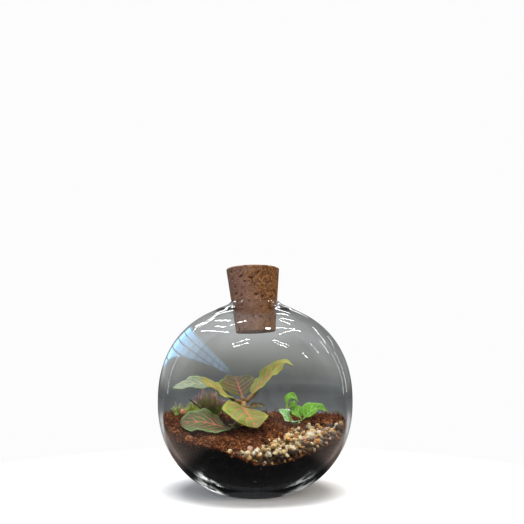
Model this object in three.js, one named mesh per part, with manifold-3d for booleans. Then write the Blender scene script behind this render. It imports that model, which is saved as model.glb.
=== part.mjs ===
// Glass plant terrarium: a blown globe with a cork stopper, planted on coir over dark substrate.
// Units are millimetres, +Z is up, the origin is the centre of the resting face.
// The front, where the gravel lies, faces -Y, and +X is to the right as seen from the front.

import * as THREE from "three";
import { mergeVertices } from "three/addons/utils/BufferGeometryUtils.js";
import Module from "manifold-3d";

const wasm = await Module();
wasm.setup();

// Globe
const GLOBE_RADIUS = 90;
const GLOBE_HALF_HEIGHT = 89.5;
const GLOBE_CENTRE_Z = 86;
const GLOBE_SQUARENESS = 2.2;
const WALL = 3;
const BASE_THICKNESS = 3.2;
const GLASS_SEGMENTS = 40;
const PROFILE_STEPS = 8;

// Short collar at the mouth of the globe
const MOUTH_RADIUS = 22.4;
const NECK_RADIUS = 24.3;
const LIP_RADIUS = 25;
const SHOULDER_RADIUS = 27.2;
const RIM_Z = GLOBE_CENTRE_Z + 91.4;

// Tapered stopper, which stands a little askew in the mouth
const CORK_TOP_RADIUS = 24.2;
const CORK_FOOT_RADIUS = 18.3;
const CORK_LENGTH = 58.5;
const CORK_BEVEL = 0.8;
const CORK_LEAN = THREE.MathUtils.degToRad(2.9);
const CORK_PIVOT_Z = GLOBE_CENTRE_Z + 75.7;
const CORK_TOP_ABOVE_PIVOT = 46.3;
const CORK_SEGMENTS = 40;

// Clearance between pieces that rest against each other
const FIT = 0.35;

// Fill: dark substrate below, coir above, gravel banked against the front right of the glass
const SOIL_MIDDLE_Z = GLOBE_CENTRE_Z - 24.5;
const SUBSTRATE_TOP_Z = GLOBE_CENTRE_Z - 33;
const SUBSTRATE_DIP = 17.5;
const SUBSTRATE_RISE_RIGHT = 10;
const COIR_LEAST = 1.4;
const COIR_CRUMB = 1.7;
const GRAVEL_DEPTH = 11;
const GRAVEL_SLOPE_WIDTH = 20;
const SOIL_REACH = 91;
const COIR_CELLS = 28;
const SUBSTRATE_CELLS = 11;
const HOLE_TOP_Z = SOIL_MIDDLE_Z + 60;

// Gravel
const PEBBLE_LEAST = 2.5;
const PEBBLE_MOST = 4.2;
const PEBBLES_ON_TOP = 52;
const PEBBLES_AT_GLASS = 28;
const PEBBLE_SPACING = 0.86;
const PEBBLE_TRIES = 4000;
const PEBBLE_RING_RADIUS = 76;
const BED_BELOW_TOP = 1.6;
const BED_FROM_GLASS = 2.6;
const BED_FROM_EDGE = 3;

// Leaf blades
const BLADE_THICKNESS = 0.8;
const STALK_THICKNESS = 1.5;
const STALK_HALF_WIDTH = 0.8;

// Where each plant is rooted in the coir, and how deep
const ROOTS = {
  fittonia: { x: -13, y: -14, radius: 2.2, depth: 5 },
  sprouts: { x: -17, y: -33, radius: 1.4, depth: 4 },
  bud: { x: -67, y: -6, radius: 0.8, depth: 4 },
  twig: { x: -40, y: -7, radius: 1, depth: 5 },
  seedling: { x: 35, y: -3, radius: 1.9, depth: 5 },
  leaflets: { x: 36.5, y: -13, radius: 1, depth: 3.5 },
};

// Tufts: a mound that stands a little above the ground, and needles that lean outward
const TUFT_LIFT = 2.4;
const TUFT_ROOT_SHARE = 0.55;
const TUFTS = {
  heath_tuft: {
    x: -45, y: 21, radius: 10.5, rise: 6.5, depth: 5, count: 60, least: 14, most: 25, thick: 0.55,
    lean: 0.55, seed: 5,
  },
  moss_tuft: {
    x: -59, y: 3, radius: 5.6, rise: 6, depth: 4, count: 34, least: 9, most: 15, thick: 0.7,
    lean: 0.45, seed: 8,
  },
  grass_tuft: {
    x: -74, y: 8, radius: 4, rise: 2.6, depth: 3, count: 16, least: 6, most: 11, thick: 0.5,
    lean: 0.7, seed: 21,
  },
};

// A chip of bark on the coir at the front left
const CHIP_CENTRE = [-54.5, -53.5, 56.2];
const CHIP_RADIUS = 3;
const CHIP_SEED = 31;
const GRAVEL_SEED = 11;

const COLOURS = {
  glass: 0xdfe6e6,
  cork: 0xa9764d,
  substrate: 0x15120f,
  coir: 0x5a3420,
  gravel: 0xcbb892,
  bark: 0xb98a5e,
  leafLight: 0x8aa63f,
  leafDark: 0x4d7a4a,
  leafOlive: 0x6f7a3a,
  leafPale: 0xa9b98c,
  stalk: 0xa78a4d,
  heath_tuft: 0x5d6b35,
  moss_tuft: 0xa7bb55,
  grass_tuft: 0x93a763,
  bud: 0xd08a62,
  twig: 0x2b211b,
  seedling: 0x67a63c,
};

/** A repeatable random source. */
function seeded(seed) {
  let state = seed;
  return function next() {
    state = (state + 0x6d2b79f5) | 0;
    let mixed = Math.imul(state ^ (state >>> 15), 1 | state);
    mixed = (mixed + Math.imul(mixed ^ (mixed >>> 7), 61 | mixed)) ^ mixed;
    return ((mixed ^ (mixed >>> 14)) >>> 0) / 4294967296;
  };
}

/** A repeatable value from 0 to 1 for a place on the ground. */
function scatter(x, y) {
  const wave = Math.sin(x * 12.9898 + y * 78.233) * 43758.5453;
  return wave - Math.floor(wave);
}

/** Smooth step from 0 at from to 1 at to. */
function ease(from, to, value) {
  const share = THREE.MathUtils.clamp((value - from) / (to - from), 0, 1);
  return share * share * (3 - 2 * share);
}

function vector(point) {
  return new THREE.Vector3(point[0], point[1], point[2]);
}

function spread(random, least, most) {
  return least + (most - least) * random();
}

/** The closed mesh of a geometry as a solid, with its faces turned outward. */
function solidOf(geometry) {
  const bare = geometry.index ? geometry.toNonIndexed() : geometry.clone();
  for (const name of Object.keys(bare.attributes)) {
    if (name !== "position") {
      bare.deleteAttribute(name);
    }
  }
  const merged = mergeVertices(bare, 1e-4);
  const index = merged.getIndex().array;
  const position = merged.getAttribute("position");
  const kept = [];
  let volume = 0;
  const a = new THREE.Vector3();
  const b = new THREE.Vector3();
  const c = new THREE.Vector3();
  for (let i = 0; i < index.length; i += 3) {
    const [first, second, third] = [index[i], index[i + 1], index[i + 2]];
    if (first === second || second === third || third === first) {
      continue;
    }
    a.fromBufferAttribute(position, first);
    b.fromBufferAttribute(position, second);
    c.fromBufferAttribute(position, third);
    volume += a.dot(b.cross(c));
    kept.push(first, second, third);
  }
  if (volume < 0) {
    kept.reverse();
  }
  const mesh = new wasm.Mesh({
    numProp: 3,
    vertProperties: new Float32Array(position.array),
    triVerts: new Uint32Array(kept),
  });
  return new wasm.Manifold(mesh);
}

/** The geometry of a solid. */
function geometryOf(solid) {
  const mesh = solid.getMesh();
  const geometry = new THREE.BufferGeometry();
  const position = new Float32Array(mesh.numVert * 3);
  for (let i = 0; i < mesh.numVert; i += 1) {
    for (let axis = 0; axis < 3; axis += 1) {
      position[i * 3 + axis] = mesh.vertProperties[i * mesh.numProp + axis];
    }
  }
  geometry.setAttribute("position", new THREE.BufferAttribute(position, 3));
  geometry.setIndex(Array.from(mesh.triVerts));
  geometry.computeVertexNormals();
  return geometry;
}

/** The largest body of a solid, without loose scraps. */
function largest(solid) {
  const bodies = solid.decompose();
  bodies.sort((first, second) => second.volume() - first.volume());
  return bodies[0];
}

function joined(solids) {
  let whole = solids[0];
  for (const solid of solids.slice(1)) {
    whole = whole.add(solid);
  }
  return whole;
}

function piece(name, geometry, color, roughness = 0.7) {
  const material = new THREE.MeshStandardMaterial({ color, roughness, metalness: 0 });
  const mesh = new THREE.Mesh(geometry, material);
  mesh.name = name;
  return mesh;
}

/**
 * Points of the globe's squarish round profile, as radius and height above its centre, with the
 * same number of steps on both sides of its widest place.
 */
function roundProfile(radius, below, above, from, to) {
  const power = 2 / GLOBE_SQUARENESS;
  const points = [];
  for (let i = -PROFILE_STEPS; i <= PROFILE_STEPS; i += 1) {
    const turn = (Math.abs(i) / PROFILE_STEPS) * (i < 0 ? from : to);
    const reach = turn < 0 ? below : above;
    const height = Math.sign(turn) * reach * Math.abs(Math.sin(turn)) ** power;
    points.push(new THREE.Vector2(radius * Math.cos(turn) ** power, height));
  }
  return points;
}

/** The angle at which the round profile has the given share of its radius. */
function turnAtRadius(share) {
  return Math.acos(share ** (GLOBE_SQUARENESS / 2));
}

/** The angle at which the round profile has the given share of its height. */
function turnAtHeight(share) {
  return Math.asin(share ** (GLOBE_SQUARENESS / 2));
}

/** The free radius inside the glass at a height above the globe's centre. */
function insideRadius(height) {
  const reach = height < 0 ? GLOBE_CENTRE_Z - BASE_THICKNESS : GLOBE_HALF_HEIGHT - WALL;
  const share = Math.min(Math.abs(height) / reach, 1);
  return (GLOBE_RADIUS - WALL) * (1 - share ** GLOBE_SQUARENESS) ** (1 / GLOBE_SQUARENESS);
}

/** Profile of the globe's inside from the neck to the axis at its foot, drawn in by a clearance. */
function innerProfile(clearance) {
  const neck = turnAtRadius(MOUTH_RADIUS / (GLOBE_RADIUS - WALL));
  const points = roundProfile(
    GLOBE_RADIUS - WALL - clearance,
    GLOBE_CENTRE_Z - BASE_THICKNESS - clearance,
    GLOBE_HALF_HEIGHT - WALL - clearance,
    neck, -Math.PI / 2,
  );
  points[points.length - 1].x = 0;
  return points;
}

function lathe(points, segments) {
  const geometry = new THREE.LatheGeometry(points, segments);
  geometry.rotateX(Math.PI / 2);
  return geometry;
}

/** Blown globe: one wall of glass from its flat foot to its rounded rim. */
function glassGlobe() {
  const foot = -turnAtHeight(GLOBE_CENTRE_Z / GLOBE_HALF_HEIGHT);
  const shoulder = turnAtRadius(SHOULDER_RADIUS / GLOBE_RADIUS);
  const outer = roundProfile(
    GLOBE_RADIUS, GLOBE_HALF_HEIGHT, GLOBE_HALF_HEIGHT, foot, shoulder,
  );
  const rim = RIM_Z - GLOBE_CENTRE_Z;
  const collar = [
    [NECK_RADIUS + 0.9, rim - 3.6],
    [NECK_RADIUS, rim - 2.6],
    [LIP_RADIUS, rim - 1.3],
    [LIP_RADIUS - 0.3, rim - 0.4],
    [LIP_RADIUS - 1, rim],
    [MOUTH_RADIUS + 0.7, rim],
    [MOUTH_RADIUS, rim - 0.7],
  ];
  const points = [
    new THREE.Vector2(0, outer[0].y),
    ...outer,
    ...collar.map(([radius, height]) => new THREE.Vector2(radius, height)),
    ...innerProfile(0),
  ];
  const geometry = lathe(points, GLASS_SEGMENTS);
  geometry.translate(0, 0, GLOBE_CENTRE_Z);
  return piece("glass_globe", geometryOf(solidOf(geometry)), COLOURS.glass, 0.05);
}

/** Tapered cork, its foot inside the globe and its side against the left of the rim. */
function corkStopper() {
  const taper = (CORK_TOP_RADIUS - CORK_FOOT_RADIUS) / CORK_LENGTH;
  const top = CORK_TOP_ABOVE_PIVOT;
  const foot = top - CORK_LENGTH;
  const profile = [
    [0, foot],
    [CORK_FOOT_RADIUS - CORK_BEVEL, foot],
    [CORK_FOOT_RADIUS + CORK_BEVEL * taper, foot + CORK_BEVEL],
    [(CORK_FOOT_RADIUS + CORK_TOP_RADIUS) / 2, (foot + top) / 2],
    [CORK_TOP_RADIUS - CORK_BEVEL * taper, top - CORK_BEVEL],
    [CORK_TOP_RADIUS - CORK_BEVEL, top],
    [0, top],
  ];
  const points = profile.map(([radius, height]) => new THREE.Vector2(radius, height));
  const mesh = piece(
    "cork_stopper", geometryOf(solidOf(lathe(points, CORK_SEGMENTS))), COLOURS.cork, 0.9,
  );
  mesh.position.z = CORK_PIVOT_Z;
  mesh.rotation.y = -CORK_LEAN;
  return mesh;
}

/** The room inside the glass, up to above the soil, less a clearance. */
function roomInside(clearance) {
  const ceiling = 30;
  const profile = innerProfile(clearance).filter((point) => point.y < ceiling);
  profile.unshift(new THREE.Vector2(0, profile[0].y));
  const geometry = lathe(profile, GLASS_SEGMENTS);
  geometry.translate(0, 0, GLOBE_CENTRE_Z);
  return solidOf(geometry);
}

/** A block of ground up to a height that varies over the plan. */
function groundBelow(height, cells, raise = 0) {
  const floor = -20;
  const block = new THREE.BoxGeometry(2 * SOIL_REACH, 2 * SOIL_REACH, 1, cells, cells, 1);
  const position = block.getAttribute("position");
  for (let i = 0; i < position.count; i += 1) {
    const x = position.getX(i);
    const y = position.getY(i);
    position.setZ(i, position.getZ(i) > 0 ? height(x, y) + raise : floor);
  }
  return solidOf(block);
}

/** Where the gravel ends on its inner side: the Y of that edge at each X. */
const GRAVEL_EDGE = [
  [-45, -100], [-25, -77], [-8, -65], [10, -54], [26, -41], [40, -25], [58, -14], [72, -10], [90, -14],
];

function gravelEdge(x) {
  const last = GRAVEL_EDGE.length - 1;
  if (x <= GRAVEL_EDGE[0][0]) {
    return GRAVEL_EDGE[0][1];
  }
  for (let i = 0; i < last; i += 1) {
    const [x0, y0] = GRAVEL_EDGE[i];
    const [x1, y1] = GRAVEL_EDGE[i + 1];
    if (x <= x1) {
      return y0 + ((y1 - y0) * (x - x0)) / (x1 - x0);
    }
  }
  return GRAVEL_EDGE[last][1];
}

/** How far a place lies in front of the gravel's inner edge. */
function insideGravel(x, y) {
  return gravelEdge(x) - y;
}

/** Top of the dark substrate: level behind, dished at the front, banked up at the right. */
function substrateHeight(x, y) {
  const dish = Math.exp(-(((x - 14) / 38) ** 2)) * ease(18, 74, -y);
  const right = ease(58, 88, x) * ease(-60, -5, y);
  const ripple = 0.8 * Math.sin(x / 9 + 1) * Math.sin(y / 11 - 2);
  return SUBSTRATE_TOP_Z - SUBSTRATE_DIP * dish + SUBSTRATE_RISE_RIGHT * right + ripple;
}

/** Level of the finished ground: it falls to the front and is banked up at both sides. */
function groundHeight(x, y) {
  const front = y < 0 ? 0.0021 * y * y : 0;
  const bank = x < 0 ? 9.5 * Math.abs(x / 86) ** 2.2 : 5.5 * (x / 86) ** 2;
  const mound = 3.2 * Math.exp(-(((x - 58) / 17) ** 2) - ((y - 8) / 14) ** 2);
  const hump = 2.4 * Math.exp(-(((x - 13) / 12) ** 2) - ((y - 46) / 20) ** 2);
  const ripple = 1.1 * Math.sin(x / 7.5 + 0.6) * Math.cos(y / 8.5 + 1.1);
  return SOIL_MIDDLE_Z + 0.045 * y - front + bank + mound + hump + ripple;
}

/** Top of the coir: crumbly where it lies bare, and dished under the gravel. */
function coirHeight(x, y) {
  const covered = insideGravel(x, y);
  const sunk = GRAVEL_DEPTH * ease(-2, GRAVEL_SLOPE_WIDTH, covered);
  const bare = 1 - ease(-4, 2, covered);
  const crumb = COIR_CRUMB * bare * (scatter(Math.round(x * 10), Math.round(y * 10)) - 0.35);
  return Math.max(groundHeight(x, y) - sunk + crumb, substrateHeight(x, y) + COIR_LEAST);
}

/** A straight prism of ground round an upright root, to be cut out of the soil. */
function rootHole({ x, y, radius, depth }) {
  const foot = groundHeight(x, y) - depth - FIT;
  const wide = radius + 1.4 * FIT;
  const hole = new THREE.CylinderGeometry(wide, wide, HOLE_TOP_Z - foot, 10);
  hole.rotateX(Math.PI / 2);
  hole.translate(x, y, (HOLE_TOP_Z + foot) / 2);
  return solidOf(hole);
}

/** A root stub in its hole, up to where the stem or tuft takes over. */
function rootStub({ x, y, radius, depth }, rise) {
  const foot = groundHeight(x, y) - depth;
  const height = depth + rise;
  const stub = new THREE.CylinderGeometry(radius, radius, height, 8);
  stub.rotateX(Math.PI / 2);
  stub.translate(x, y, foot + height / 2);
  return solidOf(stub);
}

/** A stone: a jittered, squashed icosahedron. */
function pebble(random, centre, radius) {
  const geometry = new THREE.IcosahedronGeometry(radius, 0);
  const merged = mergeVertices(geometry.deleteAttribute("normal").deleteAttribute("uv"));
  const position = merged.getAttribute("position");
  const squash = new THREE.Vector3(
    spread(random, 0.85, 1.2), spread(random, 0.85, 1.2), spread(random, 0.65, 0.95),
  );
  const corner = new THREE.Vector3();
  const turn = new THREE.Euler(spread(random, -0.7, 0.7), spread(random, -0.7, 0.7), spread(random, 0, 6.2));
  for (let i = 0; i < position.count; i += 1) {
    corner.fromBufferAttribute(position, i).multiplyScalar(spread(random, 0.88, 1.1));
    corner.multiply(squash).applyEuler(turn).add(centre);
    position.setXYZ(i, corner.x, corner.y, corner.z);
  }
  return solidOf(merged);
}

/** Places of the stones on top of the gravel and against the glass, none of them crowded. */
function pebblePlaces(random) {
  const places = [];
  function add(x, y, z, radius) {
    const centre = new THREE.Vector3(x, y, z);
    const crowded = places.some(
      (other) => other.centre.distanceTo(centre) < PEBBLE_SPACING * (other.radius + radius),
    );
    if (!crowded) {
      places.push({ centre, radius });
    }
    return !crowded;
  }
  let wanted = PEBBLES_ON_TOP;
  for (let tries = 0; tries < PEBBLE_TRIES && wanted > 0; tries += 1) {
    const x = spread(random, -28, 82);
    const y = spread(random, -82, -10);
    const radius = spread(random, PEBBLE_LEAST, PEBBLE_MOST);
    const z = groundHeight(x, y) + spread(random, -1.2, 0.6);
    const room = insideRadius(z - GLOBE_CENTRE_Z) - FIT - radius * 1.25;
    if (insideGravel(x, y) > -1.5 && Math.hypot(x, y) < room && add(x, y, z, radius)) {
      wanted -= 1;
    }
  }
  wanted = PEBBLES_AT_GLASS;
  for (let tries = 0; tries < PEBBLE_TRIES && wanted > 0; tries += 1) {
    const turn = spread(random, THREE.MathUtils.degToRad(-14), THREE.MathUtils.degToRad(78));
    const radius = spread(random, PEBBLE_LEAST, PEBBLE_MOST - 0.4);
    const share = random();
    const x0 = PEBBLE_RING_RADIUS * Math.sin(turn);
    const y0 = -PEBBLE_RING_RADIUS * Math.cos(turn);
    const z = THREE.MathUtils.lerp(coirHeight(x0, y0) + 1.5, groundHeight(x0, y0) - 1, share);
    const reach = insideRadius(z - GLOBE_CENTRE_Z) - FIT - radius * 1.15;
    if (insideGravel(x0, y0) > 2 && add(reach * Math.sin(turn), -reach * Math.cos(turn), z, radius)) {
      wanted -= 1;
    }
  }
  return places;
}

/** Bank of mixed gravel: stones fused to a bed that fills the dish in the coir. */
function gravelBed(coirTop) {
  const random = seeded(GRAVEL_SEED);
  const outline = new THREE.Shape();
  outline.moveTo(GRAVEL_EDGE[1][0] + BED_FROM_EDGE, GRAVEL_EDGE[1][1] - BED_FROM_EDGE);
  for (const [x, y] of GRAVEL_EDGE.slice(2, -1)) {
    outline.lineTo(x + 1, y - BED_FROM_EDGE);
  }
  const reach = SOIL_REACH + 4;
  outline.lineTo(reach, -16);
  outline.lineTo(reach, -reach);
  outline.lineTo(-16, -reach);
  outline.closePath();
  const plan = new THREE.ExtrudeGeometry(outline, { depth: HOLE_TOP_Z, bevelEnabled: false });
  const bed = groundBelow((x, y) => groundHeight(x, y) - BED_BELOW_TOP, SUBSTRATE_CELLS * 2)
    .intersect(solidOf(plan))
    .intersect(roomInside(BED_FROM_GLASS));
  const stones = pebblePlaces(random).map(({ centre, radius }) => pebble(random, centre, radius));
  const bank = joined([bed, ...stones]).intersect(roomInside(FIT)).subtract(coirTop);
  return piece("gravel_bed", geometryOf(largest(bank)), COLOURS.gravel, 0.6);
}

/** Rings of equal corner count joined into one closed, capped body. */
function loft(rings) {
  const sides = rings[0].length;
  const corners = rings.flat();
  const start = corners.length;
  const ends = [rings[0], rings[rings.length - 1]].map((ring) => {
    const middle = new THREE.Vector3();
    ring.forEach((corner) => middle.add(corner));
    return middle.divideScalar(sides);
  });
  corners.push(...ends);
  const index = [];
  for (let row = 0; row < rings.length - 1; row += 1) {
    for (let i = 0; i < sides; i += 1) {
      const next = (i + 1) % sides;
      const [a, b] = [row * sides + i, row * sides + next];
      index.push(a, b, b + sides, a, b + sides, a + sides);
    }
  }
  const lastRow = (rings.length - 1) * sides;
  for (let i = 0; i < sides; i += 1) {
    const next = (i + 1) % sides;
    index.push(start, next, i);
    index.push(start + 1, lastRow + i, lastRow + next);
  }
  const geometry = new THREE.BufferGeometry();
  geometry.setAttribute(
    "position", new THREE.Float32BufferAttribute(corners.flatMap((corner) => corner.toArray()), 3),
  );
  geometry.setIndex(index);
  return geometry;
}

/** A stem along a smooth line, with a radius for each of its points. */
function stem(points, radii, sides = 7, steps = 3) {
  const curve = new THREE.CatmullRomCurve3(points.map(vector), false, "centripetal");
  const count = (points.length - 1) * steps;
  const frames = curve.computeFrenetFrames(count, false);
  const rings = [];
  for (let i = 0; i <= count; i += 1) {
    const centre = curve.getPointAt(i / count);
    const place = (i / count) * (radii.length - 1);
    const lower = Math.min(Math.floor(place), radii.length - 2);
    const radius = THREE.MathUtils.lerp(radii[lower], radii[lower + 1], place - lower);
    const ring = [];
    for (let side = 0; side < sides; side += 1) {
      const angle = (side / sides) * 2 * Math.PI;
      const corner = centre.clone();
      corner.addScaledVector(frames.normals[i], radius * Math.cos(angle));
      corner.addScaledVector(frames.binormals[i], radius * Math.sin(angle));
      ring.push(corner);
    }
    rings.push(ring);
  }
  return solidOf(loft(rings));
}

/** Half the width of a leaf, as a share of its widest, along the blade from 0 to 1. */
function leafOutline(along) {
  return Math.sin(Math.PI * along ** 0.8) ** 0.8;
}

/**
 * A leaf with its stalk: a thin blade that follows a smooth midrib, with folded halves, a waved
 * margin and both faces split into triangles alike.
 */
function leaf({
  midrib, face, halfWidth, stalk = 0.22, foldLeft = 0.15, foldRight = 0.15, wave = 1.2, waves = 3,
  phase = 0, curl = 0, lengthSteps = 10, halfSteps = 2, stalkSteps = 2,
}) {
  const curve = new THREE.CatmullRomCurve3(midrib.map(vector), false, "centripetal");
  const faces = face.map(vector);
  const across = 2 * halfSteps;
  const upper = [];
  const lower = [];
  for (let row = 0; row <= lengthSteps; row += 1) {
    const beyond = (row - stalkSteps) / (lengthSteps - stalkSteps);
    const along = row < stalkSteps ? (stalk * row) / stalkSteps : stalk + (1 - stalk) * beyond;
    const blade = Math.max(0, (along - stalk) / (1 - stalk));
    const centre = curve.getPointAt(along);
    const forward = curve.getTangentAt(along);
    const up = faces[0].clone().lerp(faces[faces.length - 1], along);
    const right = forward.clone().cross(up).normalize();
    const normal = right.clone().cross(forward).normalize();
    const scallop = 1 + 0.05 * Math.sin(4 * Math.PI * waves * blade + phase);
    const width = Math.max(STALK_HALF_WIDTH * (1 - 0.5 * blade), halfWidth * leafOutline(blade) * scallop);
    const thickness = THREE.MathUtils.lerp(STALK_THICKNESS, BLADE_THICKNESS, Math.min(1, blade * 6));
    for (let step = 0; step <= across; step += 1) {
      const side = step / halfSteps - 1;
      const fold = side < 0 ? foldLeft : foldRight;
      const swell = Math.sin(Math.PI * blade);
      const shift = side < 0 ? 0 : 1.7;
      const ripple = wave * side * side * swell * Math.sin(2 * Math.PI * waves * blade + phase + shift);
      const rise = Math.abs(side) * width * fold - curl * side * side * swell + ripple;
      const point = centre.clone().addScaledVector(right, side * width).addScaledVector(normal, rise);
      upper.push(point.clone().addScaledVector(normal, thickness / 2));
      lower.push(point.addScaledVector(normal, -thickness / 2));
    }
  }
  return solidOf(bladeGeometry(upper, lower, across));
}

/** Two faces of equal grids closed round their edge, with the same diagonals on both. */
function bladeGeometry(upper, lower, across) {
  const columns = across + 1;
  const rows = upper.length / columns - 1;
  const under = upper.length;
  const index = [];
  for (let row = 0; row < rows; row += 1) {
    for (let column = 0; column < across; column += 1) {
      const a = row * columns + column;
      const [b, c, d] = [a + 1, a + columns, a + columns + 1];
      index.push(a, b, d, a, d, c);
      index.push(under + a, under + d, under + b, under + a, under + c, under + d);
    }
  }
  function wall(a, b) {
    index.push(a, under + a, under + b, a, under + b, b);
  }
  for (let column = 0; column < across; column += 1) {
    const far = rows * columns + column;
    wall(column, column + 1);
    wall(far + 1, far);
  }
  for (let row = 0; row < rows; row += 1) {
    const near = row * columns;
    wall(near + columns, near);
    wall(near + across, near + across + columns);
  }
  const corners = [...upper, ...lower].flatMap((corner) => corner.toArray());
  const geometry = new THREE.BufferGeometry();
  geometry.setAttribute("position", new THREE.Float32BufferAttribute(corners, 3));
  geometry.setIndex(index);
  return geometry;
}

/** A needle from a root point along a direction: a slim three-sided cone. */
function needle(root, direction, length, radius) {
  const cone = new THREE.ConeGeometry(radius, length, 3);
  cone.translate(0, length / 2, 0);
  const turn = new THREE.Quaternion().setFromUnitVectors(new THREE.Vector3(0, 1, 0), direction);
  cone.applyQuaternion(turn);
  cone.translate(root.x, root.y, root.z);
  return solidOf(cone);
}

/** The slim mound that a tuft grows from, wider by a clearance where it is cut out of the soil. */
function mound({ x, y, radius, rise }, clearance = 0) {
  const core = new THREE.SphereGeometry(1, 8, 5);
  core.rotateX(Math.PI / 2);
  core.scale(radius + clearance, radius + clearance, rise + clearance);
  core.translate(x, y, groundHeight(x, y) + TUFT_LIFT);
  return solidOf(core);
}

/** The root of a tuft, under its mound. */
function tuftRoot({ x, y, radius, depth }) {
  return { x, y, radius: radius * TUFT_ROOT_SHARE, depth };
}

/** Needles that stand out of a slim mound, leaning outward the further out they grow. */
function tuft(shape) {
  const { x, y, radius, rise, count, least, most, thick, lean, seed } = shape;
  const random = seeded(seed);
  const level = groundHeight(x, y);
  const solids = [mound(shape).add(rootStub(tuftRoot(shape), TUFT_LIFT))];
  const golden = Math.PI * (3 - Math.sqrt(5));
  for (let i = 0; i < count; i += 1) {
    const share = Math.sqrt((i + 0.5) / count);
    const angle = i * golden;
    const out = new THREE.Vector3(Math.cos(angle), Math.sin(angle), 0);
    const root = new THREE.Vector3(x, y, level + TUFT_LIFT + rise * (0.75 - 0.75 * share));
    root.addScaledVector(out, radius * 0.62 * share);
    const direction = out.clone().multiplyScalar(lean * share + spread(random, -0.06, 0.06));
    direction.z = 1;
    direction.x += spread(random, -0.1, 0.1);
    direction.normalize();
    const length = spread(random, least, most) * (1 - 0.25 * share);
    solids.push(needle(root, direction, length, thick));
  }
  return joined(solids);
}

/** Fewer faces and a finer margin for the leaves of young shoots. */
const SMALL_LEAF = { stalk: 0.2, wave: 0.3, waves: 1, lengthSteps: 4, halfSteps: 1, stalkSteps: 1 };

/** The nerve plant's short stem, from its hole in the coir to the crown. */
function fittoniaStem() {
  const { x, y, radius, depth } = ROOTS.fittonia;
  const foot = groundHeight(x, y) - depth;
  const line = [[x, y, foot], [x, y, foot + 8], [-12, -13, 75], [-10.5, -12, 85]];
  return piece("fittonia_stem", geometryOf(stem(line, [radius, radius, 1.9, 1.6])), COLOURS.stalk);
}

const FITTONIA_LEAVES = {
  fittonia_leaf_upper_right: {
    color: COLOURS.leafLight,
    midrib: [[-8, -11.6, 84.6], [0, -8, 95.6], [13.5, -3, 110.5], [26, 2, 121.5], [36.5, 5, 118]],
    face: [[-0.62, -0.3, 0.68], [-0.1, -0.36, 0.92]],
    halfWidth: 13, stalk: 0.14, foldLeft: 0.25, foldRight: 0.25, wave: 1.6, waves: 3.5,
  },
  fittonia_leaf_left: {
    color: COLOURS.leafLight,
    midrib: [[-13, -13.4, 84.2], [-21, -16, 88.5], [-31, -19, 94], [-41, -22, 101.5], [-49, -24, 106]],
    face: [[0.35, -0.25, 0.9], [0.45, -0.35, 0.8]],
    halfWidth: 12.5, stalk: 0.1, foldLeft: 0.2, foldRight: 0.05, wave: 1.8, waves: 2.5,
  },
  fittonia_leaf_back: {
    color: COLOURS.leafOlive,
    midrib: [[-10.7, -9.9, 85.2], [-13, -3, 92], [-16, 9, 99.5], [-18.5, 20, 105], [-20, 31, 108]],
    face: [[0, -0.75, 0.66], [0, -0.4, 0.9]],
    halfWidth: 18, stalk: 0.14, foldLeft: 0.22, foldRight: 0.22, wave: 1.4, waves: 2.5,
  },
  fittonia_leaf_front: {
    color: COLOURS.leafLight,
    midrib: [[-11, -15, 80.5], [-10.5, -22, 81], [-8.5, -33, 78], [-4, -43, 71.5], [0.5, -50, 64]],
    face: [[0.12, -0.1, 1], [0.12, -0.8, 0.6]],
    halfWidth: 21, stalk: 0.1, foldLeft: 0.36, foldRight: 0, wave: 1.9, waves: 2, curl: 2,
  },
  fittonia_leaf_low: {
    color: COLOURS.leafDark,
    midrib: [[-14.5, -15.8, 67], [-24, -32, 62.6], [-35, -37, 66.5], [-48, -40, 69.5], [-64, -42, 67.5]],
    face: [[-0.1, -0.45, 0.9], [-0.1, -0.52, 0.85]],
    halfWidth: 17.5, stalk: 0.33, foldLeft: 0.16, foldRight: 0.1, wave: 1.3, waves: 2,
  },
  fittonia_leaf_pale: {
    color: COLOURS.leafPale,
    midrib: [[-12.7, -10.5, 80.5], [-24, 1, 89], [-38, 3, 99], [-58, 0, 101.5], [-77, -5, 97]],
    face: [[0, -0.6, 0.8], [0, -0.55, 0.85]],
    halfWidth: 9.5, stalk: 0.45, foldLeft: 0.12, foldRight: 0.12, wave: 1, waves: 2,
  },
  fittonia_leaf_small: {
    color: COLOURS.leafDark,
    midrib: [[-8.6, -12.6, 79], [-3, -11.5, 80.5], [3, -10, 81.5], [9, -8, 80]],
    face: [[0, -0.45, 0.9], [0, -0.35, 0.9]],
    halfWidth: 5.2, stalk: 0.2, foldLeft: 0.2, foldRight: 0.2, wave: 0.5, waves: 1.5,
  },
};

/** Young shoots beside the nerve plant's foot, on one root of their own. */
function fittoniaSprouts() {
  const { x, y } = ROOTS.sprouts;
  const level = groundHeight(x, y);
  const shoots = [
    { turn: 2.6, length: 7, rise: 5.5, halfWidth: 2.4 },
    { turn: 0.4, length: 6, rise: 6.5, halfWidth: 2.2 },
    { turn: 4.3, length: 7.5, rise: 4, halfWidth: 2.5 },
    { turn: 5.6, length: 5, rise: 7.5, halfWidth: 1.8 },
  ];
  const solids = [rootStub(ROOTS.sprouts, 2.2)];
  for (const { turn, length, rise, halfWidth } of shoots) {
    const [cos, sin] = [Math.cos(turn), Math.sin(turn)];
    const midrib = [0, 0.5, 1].map((share) => [
      x + cos * length * share, y + sin * length * share, level + 1 + rise * Math.sin(share * 1.9),
    ]);
    const face = [[-cos, -sin, 1], [0, 0, 1]];
    solids.push(leaf({ ...SMALL_LEAF, midrib, face, halfWidth }));
  }
  return piece("fittonia_sprouts", geometryOf(largest(joined(solids))), COLOURS.leafLight);
}

const BUD = { rise: 6, radius: 2.4, height: 6, sepals: 5 };

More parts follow.
